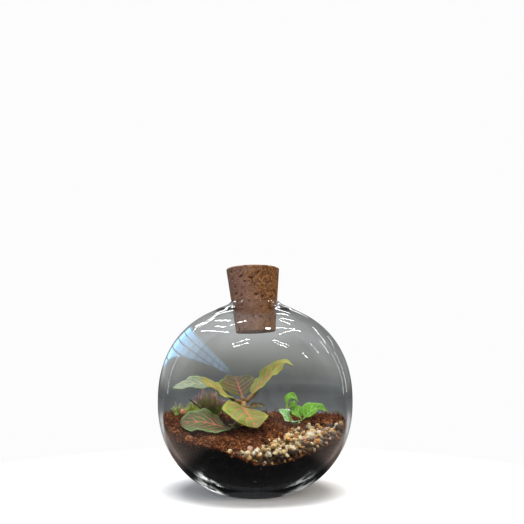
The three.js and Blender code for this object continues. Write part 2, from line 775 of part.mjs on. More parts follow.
/** A small bud: pointed sepals that overlap round a core, on a short stalk. */
function flowerBud() {
  const { rise, radius, height, sepals } = BUD;
  const { x, y } = ROOTS.bud;
  const base = groundHeight(x, y) + rise;
  const core = new THREE.SphereGeometry(1, 8, 6);
  core.rotateX(Math.PI / 2);
  core.scale(radius * 0.8, radius * 0.8, height / 2);
  core.translate(x, y, base + height / 2 - 0.6);
  const solids = [solidOf(core), rootStub(ROOTS.bud, rise + 1)];
  for (let i = 0; i < sepals; i += 1) {
    const turn = (i / sepals) * 2 * Math.PI;
    const [cos, sin] = [Math.cos(turn), Math.sin(turn)];
    const reach = [0.3, 0.95, 0.98, 0.5];
    const midrib = reach.map((share, step) => [
      x + cos * radius * share, y + sin * radius * share, base - 0.3 + (height * step) / 3,
    ]);
    const face = [[cos, sin, 0]];
    solids.push(leaf({ ...SMALL_LEAF, midrib, face, halfWidth: 1.5, stalk: 0.08, wave: 0.1 }));
  }
  return piece("flower_bud", geometryOf(largest(joined(solids))), COLOURS.bud);
}

/** A bare twig that leans to the left, with two short side stubs. */
function bareTwig() {
  const { x, y, depth } = ROOTS.twig;
  const foot = groundHeight(x, y) - depth;
  const main = stem([[x, y, foot], [x, y, foot + 6], [-44, -7, 72], [-53, -7.5, 80.5], [-61, -8, 87]],
    [0.9, 0.9, 0.8, 0.7, 0.55], 6, 2);
  const side = stem([[-44.5, -7, 72.5], [-47, -9, 77.5]], [0.5, 0.35], 5, 1);
  const spur = stem([[-55, -7.6, 82], [-57, -10, 82.5]], [0.45, 0.35], 5, 1);
  return piece("bare_twig", geometryOf(joined([main, side, spur])), COLOURS.twig);
}

/** The seedling's stem with its side stalk. */
function seedlingStem() {
  const { x, y, depth } = ROOTS.seedling;
  const foot = groundHeight(x, y) - depth;
  const main = stem(
    [[x, y, foot], [x, y, foot + 6], [31.5, -2.5, 71], [29.5, -2, 78], [30.5, -2, 85]],
    [1.6, 1.6, 1.3, 1.1, 0.9], 6, 2,
  );
  const right = stem([[x, y, foot + 5.6], [39.5, -3.6, 65.4], [43.5, -4.4, 66.8]], [0.9, 0.8, 0.7], 6, 2);
  return piece("seedling_stem", geometryOf(joined([main, right])), COLOURS.seedling);
}

const SEEDLING_LEAVES = {
  seedling_leaf_top: {
    color: COLOURS.seedling,
    midrib: [[30.6, -2, 85.6], [31.4, -1.8, 89.6], [35.5, -1, 91.6], [39.6, -0.5, 89.4], [41.4, 0, 85.6]],
    face: [[-0.7, -0.6, 0.4], [0.75, -0.6, 0.5]],
    halfWidth: 5, stalk: 0.14, foldLeft: 0.2, foldRight: 0.3, wave: 0.9, waves: 2,
  },
  seedling_leaf_bent: {
    color: COLOURS.seedling,
    midrib: [[31.2, -3.4, 78.5], [34, -5, 82], [36.5, -6, 84], [38, -6.5, 81]],
    face: [[-0.2, -0.9, 0.5], [0.4, -0.8, 0.4]],
    halfWidth: 3, stalk: 0.15, foldLeft: 0.3, foldRight: 0.2, wave: 0.4, waves: 1.5,
  },
  seedling_leaf_right: {
    color: COLOURS.seedling,
    midrib: [[44.3, -4.6, 67.4], [47.5, -4, 70.5], [54, -3, 76], [61, -2.5, 79], [67, -3, 75.5]],
    face: [[-0.45, -0.6, 0.6], [0.1, -0.6, 0.8]],
    halfWidth: 8, stalk: 0.1, foldLeft: 0.35, foldRight: 0.35, wave: 0.9, waves: 2,
  },
  seedling_leaf_middle: {
    color: COLOURS.seedling,
    midrib: [[42.8, -3.2, 67.9], [41, -1.5, 72], [38.2, 0.5, 77], [35, 2.5, 80.5]],
    face: [[0.55, -0.75, 0.4], [0.5, -0.7, 0.5]],
    halfWidth: 7, stalk: 0.12, foldLeft: 0.3, foldRight: 0.3, wave: 0.8, waves: 1.5,
  },
  seedling_leaf_variegated: {
    color: COLOURS.leafPale,
    midrib: [[32.4, -5.2, 66.5], [29.5, -8, 70], [26, -9, 74], [22, -9.5, 77.5]],
    face: [[0.6, -0.7, 0.4], [0.6, -0.6, 0.5]],
    halfWidth: 6.5, stalk: 0.1, foldLeft: 0.25, foldRight: 0.25, wave: 0.9, waves: 2,
  },
};

/** Small pale leaflets in front of the seedling, on one root. */
function seedlingLeaflets() {
  const { x, y } = ROOTS.leaflets;
  const level = groundHeight(x, y);
  const solids = [rootStub(ROOTS.leaflets, 2)];
  const count = 4;
  for (let i = 0; i < count; i += 1) {
    const turn = 0.5 + (i / count) * 2 * Math.PI;
    const [cos, sin] = [Math.cos(turn), Math.sin(turn)];
    const midrib = [0, 0.5, 1].map((share) => [
      x + cos * 5 * share, y + sin * 5 * share, level + 0.9 + (4 + i * 0.5) * Math.sin(share * 1.8),
    ]);
    const face = [[-cos, -sin, 1], [0, 0, 1]];
    solids.push(leaf({ ...SMALL_LEAF, midrib, face, halfWidth: 2.1 }));
  }
  return piece("seedling_leaflets", geometryOf(largest(joined(solids))), COLOURS.leafPale);
}

function barkChip(radius) {
  return pebble(seeded(CHIP_SEED), vector(CHIP_CENTRE), radius);
}

/** Everything that stands in or on the coir, cut out of it with a clearance. */
function coirHoles() {
  const tufts = Object.values(TUFTS).map(
    (shape) => mound(shape, 3 * FIT).add(rootHole(tuftRoot(shape))),
  );
  return [...Object.values(ROOTS).map(rootHole), barkChip(CHIP_RADIUS + 2 * FIT), ...tufts];
}

/** The two layers of soil. */
function soilLayers() {
  const room = roomInside(FIT);
  const substrate = room.intersect(groundBelow(substrateHeight, SUBSTRATE_CELLS));
  let coir = room
    .intersect(groundBelow(coirHeight, COIR_CELLS))
    .subtract(groundBelow(substrateHeight, SUBSTRATE_CELLS, FIT));
  for (const hole of coirHoles()) {
    coir = coir.subtract(hole);
  }
  return [
    piece("black_substrate", geometryOf(largest(substrate)), COLOURS.substrate, 0.95),
    piece("coir_topsoil", geometryOf(largest(coir)), COLOURS.coir, 0.95),
  ];
}

function plantPieces() {
  const pieces = [fittoniaStem(), fittoniaSprouts(), flowerBud(), bareTwig(), seedlingStem()];
  for (const [name, { color, ...shape }] of Object.entries({ ...FITTONIA_LEAVES, ...SEEDLING_LEAVES })) {
    pieces.push(piece(name, geometryOf(leaf(shape)), color, 0.5));
  }
  pieces.push(seedlingLeaflets());
  for (const [name, shape] of Object.entries(TUFTS)) {
    pieces.push(piece(name, geometryOf(largest(tuft(shape))), COLOURS[name]));
  }
  return pieces;
}

const terrarium = new THREE.Group();
terrarium.name = "terrarium";
terrarium.add(glassGlobe(), corkStopper(), ...soilLayers());
terrarium.add(gravelBed(groundBelow(coirHeight, COIR_CELLS, FIT)));
terrarium.add(piece("bark_chip", geometryOf(barkChip(CHIP_RADIUS)), COLOURS.bark, 0.8));
terrarium.add(...plantPieces());

export default terrarium;
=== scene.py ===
"""Looks of a glass plant terrarium: a blown globe with a cork, soil, gravel and small plants.

Sizes of pieces are in millimetres, in the part's own frame, and those of the studio are in metres.
"""

import logging
import math
import random
from dataclasses import dataclass
from enum import Enum
from typing import Callable, Optional, Sequence

import bmesh
import bpy
import numpy as np
from mathutils import Matrix, Vector, noise
from mathutils.bvhtree import BVHTree


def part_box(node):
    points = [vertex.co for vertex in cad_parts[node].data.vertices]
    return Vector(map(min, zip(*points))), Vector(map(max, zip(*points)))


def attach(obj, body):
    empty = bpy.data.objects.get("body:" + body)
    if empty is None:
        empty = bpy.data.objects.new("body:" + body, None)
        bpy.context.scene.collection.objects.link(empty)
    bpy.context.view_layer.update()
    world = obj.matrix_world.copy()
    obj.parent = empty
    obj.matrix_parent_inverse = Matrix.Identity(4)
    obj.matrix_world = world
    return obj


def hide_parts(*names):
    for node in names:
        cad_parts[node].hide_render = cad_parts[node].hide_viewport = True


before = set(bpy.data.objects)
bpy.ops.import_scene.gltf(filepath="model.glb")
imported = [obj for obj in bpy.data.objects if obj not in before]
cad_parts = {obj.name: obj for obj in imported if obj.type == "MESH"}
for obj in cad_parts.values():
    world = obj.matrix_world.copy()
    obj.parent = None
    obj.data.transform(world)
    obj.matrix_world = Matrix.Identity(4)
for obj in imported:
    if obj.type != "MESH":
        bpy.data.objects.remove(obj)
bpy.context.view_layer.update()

LOG = logging.getLogger("terrarium")
BODY = "root"
MM = 0.001
ANY_TURN = 6.28
UP = Vector((0, 0, 1))

BMesh = bmesh.types.BMesh
Face = bmesh.types.BMFace
Point = tuple[float, float, float]
Line = Sequence[Sequence[float]]
Colour = tuple[float, float, float, float]


class Slot(Enum):
    """The material slots."""

    GLASS = "clear_glass"
    CORK = "cork"
    SUBSTRATE = "black_substrate"
    COIR = "coir"
    GRAVEL = "gravel"
    BARK = "bark"
    STALK = "stalk"
    NERVE_LIGHT = "nerve_leaf_light"
    NERVE_DARK = "nerve_leaf_dark"
    PALE = "pale_leaf"
    SEEDLING = "seedling_green"
    VARIEGATED = "variegated_leaf"
    NEEDLES = "needles"
    MOSS = "moss"
    GRASS = "grass"
    BUD = "bud"
    TWIG = "twig"


def tone(red: int, green: int, blue: int) -> Colour:
    """A colour as a screen shows it, made linear.

    Args:
        red: Red from 0 to 255.
        green: Green from 0 to 255.
        blue: Blue from 0 to 255.

    Returns:
        The linear colour, with an alpha of 1.
    """
    shares = (red / 255, green / 255, blue / 255)
    linear = [share / 12.92 if share <= 0.04045 else ((share + 0.055) / 1.055) ** 2.4 for share in shares]
    return (*linear, 1.0)


def grey(level: float) -> Colour:
    """A linear grey."""
    return (level, level, level, 1.0)


def unit(value: float) -> float:
    """A value held between 0 and 1."""
    return min(1.0, max(0.0, value))


def ease(start: float, end: float, value: float) -> float:
    """A smooth step from 0 at start to 1 at end."""
    share = unit((value - start) / (end - start))
    return share * share * (3 - 2 * share)


# Lines and shapes


class SmoothLine:
    """A smooth line through a few points, measured along its length."""

    DIVISIONS = 200

    def __init__(self, points: Line) -> None:
        """Measures the line.

        Args:
            points: The points that the line passes through, in millimetres.
        """
        self.points = [Vector(point) for point in points]
        places = [self._raw(i / self.DIVISIONS) for i in range(self.DIVISIONS + 1)]
        steps = [(b - a).length for a, b in zip(places, places[1:])]
        self.lengths = np.concatenate([[0.0], np.cumsum(steps)])

    def _raw(self, share: float) -> Vector:
        """The centripetal spline through the points.

        Args:
            share: A share of its parameter, from 0 to 1.

        Returns:
            The point there.
        """
        last = len(self.points) - 1
        index = min(int(share * last), last - 1)
        weight = share * last - index
        p1, p2 = self.points[index], self.points[index + 1]
        p0 = self.points[index - 1] if index else p1 * 2 - p2
        p3 = self.points[index + 2] if index + 2 <= last else p2 * 2 - p1
        d0, d1, d2 = (max((b - a).length ** 0.5, 1e-4) for a, b in ((p0, p1), (p1, p2), (p2, p3)))
        t1 = ((p1 - p0) / d0 - (p2 - p0) / (d0 + d1) + (p2 - p1) / d1) * d1
        t2 = ((p2 - p1) / d1 - (p3 - p1) / (d1 + d2) + (p3 - p2) / d2) * d1
        square = p2 * 3 - p1 * 3 - t1 * 2 - t2
        cube = p1 * 2 - p2 * 2 + t1 + t2
        return p1 + t1 * weight + square * weight**2 + cube * weight**3

    def point(self, share: float) -> Vector:
        """The point at a share of the line's length."""
        wanted = unit(share) * float(self.lengths[-1])
        return self._raw(float(np.interp(wanted, self.lengths, np.linspace(0, 1, self.DIVISIONS + 1))))

    def tangent(self, share: float) -> Vector:
        """The direction of the line at a share of its length."""
        step = 0.002
        return (self.point(share + step) - self.point(share - step)).normalized()


def spun(profile: Line, steps: int) -> BMesh:
    """Turns a profile all the way round the Z axis.

    Args:
        profile: Radii and heights, from the axis back to the axis or closed on itself.
        steps: How many steps the full turn has.

    Returns:
        The closed surface, with its faces outward.
    """
    bm = bmesh.new()
    corners = [bm.verts.new((radius, 0.0, height)) for radius, height in profile]
    edges = [bm.edges.new(pair) for pair in zip(corners, corners[1:])]
    bmesh.ops.spin(
        bm, geom=[*corners, *edges], cent=(0, 0, 0), axis=(0, 0, 1), dvec=(0, 0, 0),
        angle=2 * math.pi, steps=steps, use_merge=True, use_duplicate=False,
    )
    bmesh.ops.remove_doubles(bm, verts=bm.verts[:], dist=1e-4)
    bmesh.ops.recalc_face_normals(bm, faces=bm.faces[:])
    return bm


def sweep(
    bm: BMesh, line: SmoothLine, radii: Sequence[float], sides: int = 8, steps: int = 16,
) -> list[Face]:
    """Extrudes a round section along a line, with a radius for each share of it.

    Args:
        bm: The mesh that gets the tube.
        line: The line that the tube follows.
        radii: Radii, spread evenly over the line's length.
        sides: Corners of the section.
        steps: Rings along the line.

    Returns:
        The faces of the closed tube.
    """
    shares = np.linspace(0, 1, steps + 1)
    widths = np.interp(shares, np.linspace(0, 1, len(radii)), radii)
    forward = line.tangent(0)
    across = forward.orthogonal().normalized()
    before: Optional[Matrix] = None
    ring: list[bmesh.types.BMEdge] = []
    made: list[Face] = []
    for share, width in zip(shares, widths):
        forward = line.tangent(share)
        across = (across - forward * across.dot(forward)).normalized()
        other = forward.cross(across)
        place = Matrix((across * width, other * width, forward)).transposed().to_4x4()
        place.translation = line.point(share)
        if before is None:
            first = bmesh.ops.create_circle(bm, cap_ends=True, radius=1, segments=sides, matrix=place)
            ring = list({edge for vert in first["verts"] for edge in vert.link_edges})
            made += {face for vert in first["verts"] for face in vert.link_faces}
        else:
            out = bmesh.ops.extrude_edge_only(bm, edges=ring)["geom"]
            corners = {item for item in out if isinstance(item, bmesh.types.BMVert)}
            made += {face for vert in corners for face in vert.link_faces}
            ring = [
                item for item in out
                if isinstance(item, bmesh.types.BMEdge) and set(item.verts) <= corners
            ]
            bmesh.ops.transform(bm, matrix=place @ before.inverted(), verts=list(corners))
        before = place
    made += bmesh.ops.contextual_create(bm, geom=ring)["faces"]
    bmesh.ops.recalc_face_normals(bm, faces=made)
    return made


def mesh_of(bm: BMesh, name: str) -> bpy.types.Mesh:
    """Turns a bmesh in millimetres into a mesh in metres, and frees it.

    Args:
        bm: The bmesh.
        name: The mesh's name.

    Returns:
        The mesh.
    """
    bmesh.ops.scale(bm, vec=(MM, MM, MM), verts=bm.verts[:])
    mesh = bpy.data.meshes.new(name)
    bm.to_mesh(mesh)
    bm.free()
    return mesh


def level_of(node: str, depth: float) -> float:
    """The ground's height where a node is rooted at a depth, in millimetres."""
    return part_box(node)[0].z / MM + depth


def mark(bm: BMesh, title: str, value: Callable[[bmesh.types.BMVert], float]) -> None:
    """Gives every corner of a mesh a number, held between 0 and 1.

    Args:
        bm: The mesh.
        title: The attribute that a finish reads the number by.
        value: Works out the number of a corner.
    """
    layer = bm.verts.layers.float.new(title)
    for vert in bm.verts:
        vert[layer] = unit(value(vert))


@dataclass(frozen=True)
class Shape:
    """A small shape to be repeated: its corners, triangles and how far up each corner is."""

    corners: np.ndarray
    faces: np.ndarray
    rise: np.ndarray

    @classmethod
    def of(cls, bm: BMesh) -> "Shape":
        """Freezes a bmesh as a shape, and frees it.

        Args:
            bm: The bmesh.

        Returns:
            The shape, its rise taken from the heights of its corners.
        """
        bmesh.ops.triangulate(bm, faces=bm.faces[:])
        bm.verts.index_update()
        corners = np.array([vert.co[:] for vert in bm.verts])
        faces = np.array([[vert.index for vert in face.verts] for face in bm.faces])
        bm.free()
        low, high = corners[:, 2].min(), corners[:, 2].max()
        return cls(corners, faces, (corners[:, 2] - low) / max(high - low, 1e-6))


class Copies:
    """Many turned and scaled copies of small shapes, gathered into one mesh."""

    def __init__(self) -> None:
        """Starts with nothing."""
        self.corners: list[np.ndarray] = []
        self.faces: list[np.ndarray] = []
        self.rise: list[np.ndarray] = []
        self.tint: list[np.ndarray] = []
        self.count = 0

    def add(self, shape: Shape, place: Matrix, tint: float) -> None:
        """Adds a copy.

        Args:
            shape: What is repeated.
            place: Its place, turn and size, in millimetres.
            tint: A number from 0 to 1 that the finish turns into a colour.
        """
        turn = np.array(place.to_3x3())
        self.corners.append(shape.corners @ turn.T + np.array(place.translation))
        self.faces.append(shape.faces + self.count)
        self.rise.append(shape.rise)
        self.tint.append(np.full(len(shape.corners), tint))
        self.count += len(shape.corners)

    def mesh(self, name: str) -> bpy.types.Mesh:
        """Gathers the copies.

        Args:
            name: The mesh's name.

        Returns:
            One mesh in metres, with the attributes rise and tint.
        """
        corners = np.concatenate(self.corners) * MM
        faces = np.concatenate(self.faces)
        mesh = bpy.data.meshes.new(name)
        mesh.vertices.add(len(corners))
        mesh.vertices.foreach_set("co", corners.astype(np.float32).ravel())
        mesh.loops.add(faces.size)
        mesh.loops.foreach_set("vertex_index", faces.astype(np.int32).ravel())
        mesh.polygons.add(len(faces))
        mesh.polygons.foreach_set("loop_start", np.arange(0, faces.size, 3, dtype=np.int32))
        for title, values in (("rise", self.rise), ("tint", self.tint)):
            attribute = mesh.attributes.new(title, "FLOAT", "POINT")
            attribute.data.foreach_set("value", np.concatenate(values).astype(np.float32))
        mesh.update(calc_edges=True)
        mesh.validate()
        return mesh


class Surface:
    """The faces of a CAD node, to find heights and draw places on."""

    def __init__(self, node: str) -> None:
        """Reads the node.

        Args:
            node: The name of the CAD node.
        """
        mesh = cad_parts[node].data
        mesh.calc_loop_triangles()
        corners = np.array([vert.co[:] for vert in mesh.vertices]) / MM
        faces = np.array([list(triangle.vertices) for triangle in mesh.loop_triangles])
        self.tree = BVHTree.FromPolygons(corners.tolist(), faces.tolist())
        self.corners = corners[faces]
        cross = np.cross(
            self.corners[:, 1] - self.corners[:, 0], self.corners[:, 2] - self.corners[:, 0],
        )
        double = np.linalg.norm(cross, axis=1)
        self.areas = double / 2
        self.normals = cross / np.maximum(double, 1e-9)[:, None]
        self.middles = self.corners.mean(axis=1)
        self.reach = np.hypot(self.middles[:, 0], self.middles[:, 1])

    def room(self, globe: "Globe") -> np.ndarray:
        """The free radius inside the glass at the height of each face."""
        return np.array([globe.inside_radius(height) for height in self.middles[:, 2]])

    def draw(
        self, source: np.random.Generator, count: int, wanted: np.ndarray,
    ) -> list[tuple[Vector, Vector]]:
        """Random places, as many on each face as its area asks for.

        Args:
            source: The seeded random source.
            count: How many places to draw.
            wanted: For each face, whether it takes part.

        Returns:
            Places and the directions that their faces look in.
        """
        weights = self.areas * wanted
        faces = source.choice(len(weights), size=count, p=weights / weights.sum())
        u, v = source.random((2, count))
        flip = u + v > 1
        u[flip], v[flip] = 1 - u[flip], 1 - v[flip]
        a, b, c = (self.corners[faces, i] for i in range(3))
        places = a + (b - a) * u[:, None] + (c - a) * v[:, None]
        return [(Vector(p), Vector(self.normals[f])) for p, f in zip(places, faces)]

    def covers(self, place: Vector) -> bool:
        """Whether the node lies above a place."""
        return self.tree.ray_cast(place + Vector((0, 0, 0.3)), UP)[0] is not None


def refined_copy(node: str, longest: float, rounds: int = 5) -> BMesh:
    """A copy of a CAD node with its long edges split, in millimetres.

    Args:
        node: The CAD node's name.
        longest: Edges longer than this are split.
        rounds: How often at most.

    Returns:
        The merged and triangulated copy.
    """
    bm = bmesh.new()
    bm.from_mesh(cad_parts[node].data)
    bmesh.ops.scale(bm, vec=(1 / MM, 1 / MM, 1 / MM), verts=bm.verts[:])
    bmesh.ops.remove_doubles(bm, verts=bm.verts[:], dist=0.01)
    for _ in range(rounds):
        long_edges = [edge for edge in bm.edges if edge.calc_length() > longest]
        if not long_edges:
            break
        bmesh.ops.subdivide_edges(bm, edges=long_edges, cuts=1, use_grid_fill=True)
        bmesh.ops.triangulate(bm, faces=[face for face in bm.faces if len(face.verts) > 3])
    bm.normal_update()
    return bm


def crumb(source: random.Random, roughness: float, flatness: float) -> Shape:
    """An angular crumb: a jittered, squashed icosahedron.

    Args:
        source: The seeded random source.
        roughness: How far its corners are moved, as a share of its radius.
        flatness: Its height as a share of its width.

    Returns:
        The crumb, of radius 1.
    """
    bm = bmesh.new()
    bmesh.ops.create_icosphere(bm, subdivisions=1, radius=1)
    for vert in bm.verts:
        vert.co *= 1 + source.uniform(-roughness, roughness)
        vert.co.z *= flatness
    return Shape.of(bm)


def fibre(source: random.Random) -> Shape:
    """A short, bent, pointed fibre.

    Args:
        source: The seeded random source.

    Returns:
        The fibre, of length 1.
    """
    bm = bmesh.new()
    bend = [source.uniform(-0.22, 0.22) for _ in range(4)]
    line = SmoothLine([(0, 0, 0), (bend[0], bend[1], 0.35), (bend[2], bend[3], 0.7), (0, 0, 1)])
    sweep(bm, line, (0.05, 0.07, 0.02), sides=3, steps=3)
    return Shape.of(bm)


def turned(source: random.Random, place: Vector, size: Sequence[float]) -> Matrix:
    """A random turn at a place.

    Args:
        source: The seeded random source.
        place: The place, in millimetres.
        size: The size along each axis.

    Returns:
        The place, turn and size together.
    """
    turn = Matrix.Rotation(source.uniform(0, ANY_TURN), 4, "Z")
    turn = turn @ Matrix.Rotation(math.acos(source.uniform(-1, 1)), 4, "Y")
    spin = Matrix.Rotation(source.uniform(0, ANY_TURN), 4, "Z")
    return Matrix.Translation(place) @ turn @ spin @ Matrix.Diagonal((*size, 1))


def pulled_in(place: Vector, limit: float) -> float:
    """Moves a place towards the globe's axis where it is too far out.

    Args:
        place: The place, which is changed.
        limit: The largest radius that it may have.

    Returns:
        The radius that it had.
    """
    out = math.hypot(place.x, place.y)
    if out > limit:
        place.x *= limit / out
        place.y *= limit / out
    return out


# Shader helpers


class Wire:
    """What a node puts out. Sums on it add math nodes."""

    def __init__(self, tree: "Tree", socket: bpy.types.NodeSocket) -> None:
        """Keeps the socket and its tree."""
        self.tree = tree
        self.socket = socket

    def __add__(self, other: "Fed") -> "Wire":
        """The sum of two values."""
        return self.tree.math("ADD", self, other)

    def __sub__(self, other: "Fed") -> "Wire":
        """The difference of two values."""
        return self.tree.math("SUBTRACT", self, other)

    def __rsub__(self, other: float) -> "Wire":
        """A number less this value."""
        return self.tree.math("SUBTRACT", other, self)

    def __mul__(self, other: "Fed") -> "Wire":
        """The product of two values."""
        return self.tree.math("MULTIPLY", self, other)

    def __truediv__(self, other: "Fed") -> "Wire":
        """The quotient of two values."""
        return self.tree.math("DIVIDE", self, other)

    def __abs__(self) -> "Wire":
        """The value without its sign."""
        return self.tree.math("ABSOLUTE", self)


Fed = Wire | float | Sequence[float]


class Tree:
    """A node tree, with short ways to add nodes and feed their sockets."""

    def __init__(self, tree: bpy.types.NodeTree) -> None:
        """Keeps the tree that is built."""
        self.tree = tree

    @classmethod
    def cleared(cls, owner: bpy.types.Material | bpy.types.World) -> "Tree":
        """Empties the tree of a new material or world.

        Args:
            owner: The material or world.

        Returns:
            Its tree.
        """
        owner.use_nodes = True
        owner.node_tree.nodes.clear()
        return cls(owner.node_tree)

    @classmethod
    def shared(cls, name: str, **inputs: float | Colour) -> tuple["Tree", list[Wire]]:
        """Starts a shader group.

        Args:
            name: The group's name.
            inputs: Its inputs with their usual values. Their names have spaces for underscores.

        Returns:
            The group's tree, and a wire from each input.
        """
        made = cls(bpy.data.node_groups.new(name, "ShaderNodeTree"))
        for title, value in inputs.items():
            kind = "NodeSocketFloat" if isinstance(value, float) else "NodeSocketColor"
            new_socket = made.tree.interface.new_socket
            new_socket(title.replace("_", " "), in_out="INPUT", socket_type=kind).default_value = value
        outputs = made.tree.nodes.new("NodeGroupInput").outputs
        return made, [Wire(made, outputs[i]) for i in range(len(inputs))]

    def give(self, **outputs: Wire) -> bpy.types.NodeTree:
        """Ends a shader group.

        Args:
            outputs: Its outputs, and the wires that feed them.

        Returns:
            The group's node tree.
        """
        for title, wire in outputs.items():
            kind = "NodeSocketColor" if wire.socket.type == "RGBA" else "NodeSocketFloat"
            self.tree.interface.new_socket(title, in_out="OUTPUT", socket_type=kind)
        node = self.tree.nodes.new("NodeGroupOutput")
        for title, wire in outputs.items():
            self.feed(node.inputs[title], wire)
        return self.tree

    def feed(self, socket: bpy.types.NodeSocket, value: Fed) -> None:
        """Links a socket, or sets its value.

        Args:
            socket: The socket.
            value: A wire, a number, a vector or a colour.
        """
        if isinstance(value, Wire):
            self.tree.links.new(value.socket, socket)
        else:
            socket.default_value = value

    def node(
        self, kind: str, fed: Optional[dict[str | int, Fed]] = None, **settings: object,
    ) -> dict[str, Wire]:
        """Adds a shader node.

        Args:
            kind: Its type, without the leading ShaderNode.
            fed: What feeds its inputs, by their names or numbers.
            settings: Its settings.

        Returns:
            Its outputs by name.
        """
        made = self.tree.nodes.new(f"ShaderNode{kind}")
        for name, value in settings.items():
            setattr(made, name, value)
        for name, value in (fed or {}).items():
            self.feed(made.inputs[name], value)
        return {socket.name: Wire(self, socket) for socket in made.outputs if socket.enabled}

    def wire(self, kind: str, fed: Optional[dict[str | int, Fed]] = None, **settings: object) -> Wire:
        """The first output in use of a new node, which is added as node does."""
        return next(iter(self.node(kind, fed, **settings).values()))

    def math(self, operation: str, *values: Fed, clamp: bool = False) -> Wire:
        """The result of a sum on one, two or three values."""
        return self.wire("Math", dict(enumerate(values)), operation=operation, use_clamp=clamp)

    def mix(self, share: Fed, first: Fed, second: Fed, blend: str = "MIX") -> Wire:
        """A blend of two colours."""
        return self.wire("Mix", {0: share, 6: first, 7: second}, data_type="RGBA", blend_type=blend)

    def ramp(self, share: Fed, *stops: tuple[float, Colour], hard: bool = False) -> Wire:
        """A colour ramp.

        Args:
            share: Where on the ramp.
            stops: Places and colours.
            hard: Whether each colour holds up to the next stop.

        Returns:
            The colour.
        """
        made = self.tree.nodes.new("ShaderNodeValToRGB")
        made.color_ramp.interpolation = "CONSTANT" if hard else "LINEAR"
        elements = made.color_ramp.elements
        while len(elements) < len(stops):
            elements.new(0.5)
        for element, (place, colour) in zip(elements, stops):
            element.position = place
            element.color = colour
        self.feed(made.inputs[0], share)
        return Wire(self, made.outputs[0])

    def span(self, value: Fed, low: Fed, high: Fed, start: float = 0.0, end: float = 1.0) -> Wire:
        """A value eased from start at low to end at high."""
        fed = dict(enumerate((value, low, high, start, end)))
        return self.wire("MapRange", fed, interpolation_type="SMOOTHSTEP")

    def noise(
        self, scale: Fed, detail: float = 3, roughness: float = 0.55, vector: Optional[Fed] = None,
    ) -> Wire:
        """Noise on the object's own coordinates, or on a given vector."""
        fed = {"Vector": vector or self.place(), "Scale": scale, "Detail": detail, "Roughness": roughness}
        return self.wire("TexNoise", fed)

    def cells(self, scale: Fed, vector: Optional[Fed] = None, **settings: str) -> dict[str, Wire]:
        """A cell pattern on the object's own coordinates, or on a given vector."""
        return self.node("TexVoronoi", {"Vector": vector or self.place(), "Scale": scale}, **settings)

    def place(self) -> Wire:
        """The object's own coordinates."""
        return self.node("TexCoord")["Object"]

    def parts(self, vector: Fed) -> list[Wire]:
        """The three numbers of a vector."""
        return list(self.node("SeparateXYZ", {0: vector}).values())

    def attribute(self, name: str) -> Wire:
        """A number that the mesh carries under a name."""
        return self.node("Attribute", attribute_name=name)["Fac"]

    def bump(self, height: Fed, strength: float, distance: float) -> Wire:
        """A bumped normal, its distance in millimetres."""
        return self.wire("Bump", {"Strength": strength, "Distance": distance * MM, "Height": height})

    def group(self, tree: bpy.types.NodeTree, **values: Fed) -> dict[str, Wire]:
        """Places a shared group, with values for inputs whose names have spaces for underscores."""
        fed = {name.replace("_", " "): value for name, value in values.items()}
        return self.node("Group", fed, node_tree=tree)


class Groups:
    """The shader groups that more than one finish uses, each built once."""

    def __init__(self) -> None:
        """Builds the groups."""
        self.mottle = self._mottle()
        self.veins = self._veins()
        self.grains = self._grains()

    def _mottle(self) -> bpy.types.NodeTree:
        """Builds two colours mixed by soft noise, with a finer noise as height.

        Returns:
            The group.
        """
        tree, (first, second, scale, contrast) = Tree.shared(
            "mottled colour", First=(0.2, 0.1, 0.05, 1), Second=(0.4, 0.2, 0.1, 1), Scale=300.0, Contrast=0.2,
        )
        share = tree.span(tree.noise(scale, 5, 0.5), 0.5 - contrast, contrast + 0.5)
        return tree.give(Color=tree.mix(share, first, second), Height=tree.noise(scale * 4, 2, 0.5))

    def _veins(self) -> bpy.types.NodeTree:
        """Builds a leaf's midrib, side veins, fine net and margin, over the leaf's own map.

        Returns:
            The group.
        """
        tree, (count, slant, width, midrib, length, half_width, net_size) = Tree.shared(
            "leaf veins", Count=7.0, Sweep=0.3, Width=0.1, Midrib=0.05, Length=50.0, Half_Width=15.0,
            Net_Size=3.0,
        )
        across, up, _ = tree.parts(tree.wire("UVMap", uv_map="blade"))
        side = across * 2 - 1
        away = abs(side)
        along = up + (tree.noise(160, 2) - 0.5) * 0.09
        order = (along - tree.math("POWER", away, 1.25) * slant) * count
        far = abs(order - tree.math("ROUND", order))
        line = width * (1.15 - away * 0.7)
        side_veins = tree.span(far, line * 0.35, line, 1, 0) * tree.span(away, 0.84, 0.98, 1, 0)
        rib = midrib * (1.3 - up)
        flat = tree.wire("CombineXYZ", {0: side * half_width / net_size, 1: along * length / net_size})
        gap = tree.cells(1, flat, feature="DISTANCE_TO_EDGE", voronoi_dimensions="2D")["Distance"]
        return tree.give(
            Veins=tree.math("MAXIMUM", side_veins, tree.span(away, rib * 0.5, rib, 1, 0)),
            Net=tree.span(gap, 0.03, 0.13, 1, 0),
            Margin=tree.span(away, 0.78, 1),
        )

    def _grains(self) -> bpy.types.NodeTree:
        """Builds grains of random tone with dark gaps between them.

        Returns:
            The group.
        """
        tree, (size, gap) = Tree.shared("grains", Size=2.0, Gap=0.2)
        waves = tree.node("TexNoise", {"Vector": tree.place(), "Scale": 500})["Color"]
        wavy = tree.wire("Mix", {0: 0.0012, 4: tree.place(), 5: waves}, data_type="VECTOR")
        scale = tree.math("DIVIDE", 1000, size)
        shade = tree.node("SeparateColor", {0: tree.cells(scale, wavy)["Color"]})["Red"]
        edge = tree.cells(scale, wavy, feature="DISTANCE_TO_EDGE")["Distance"]
        return tree.give(Tone=shade, Gap=tree.span(edge, 0, gap, 1, 0))


GROUPS = Groups()


# Finishes


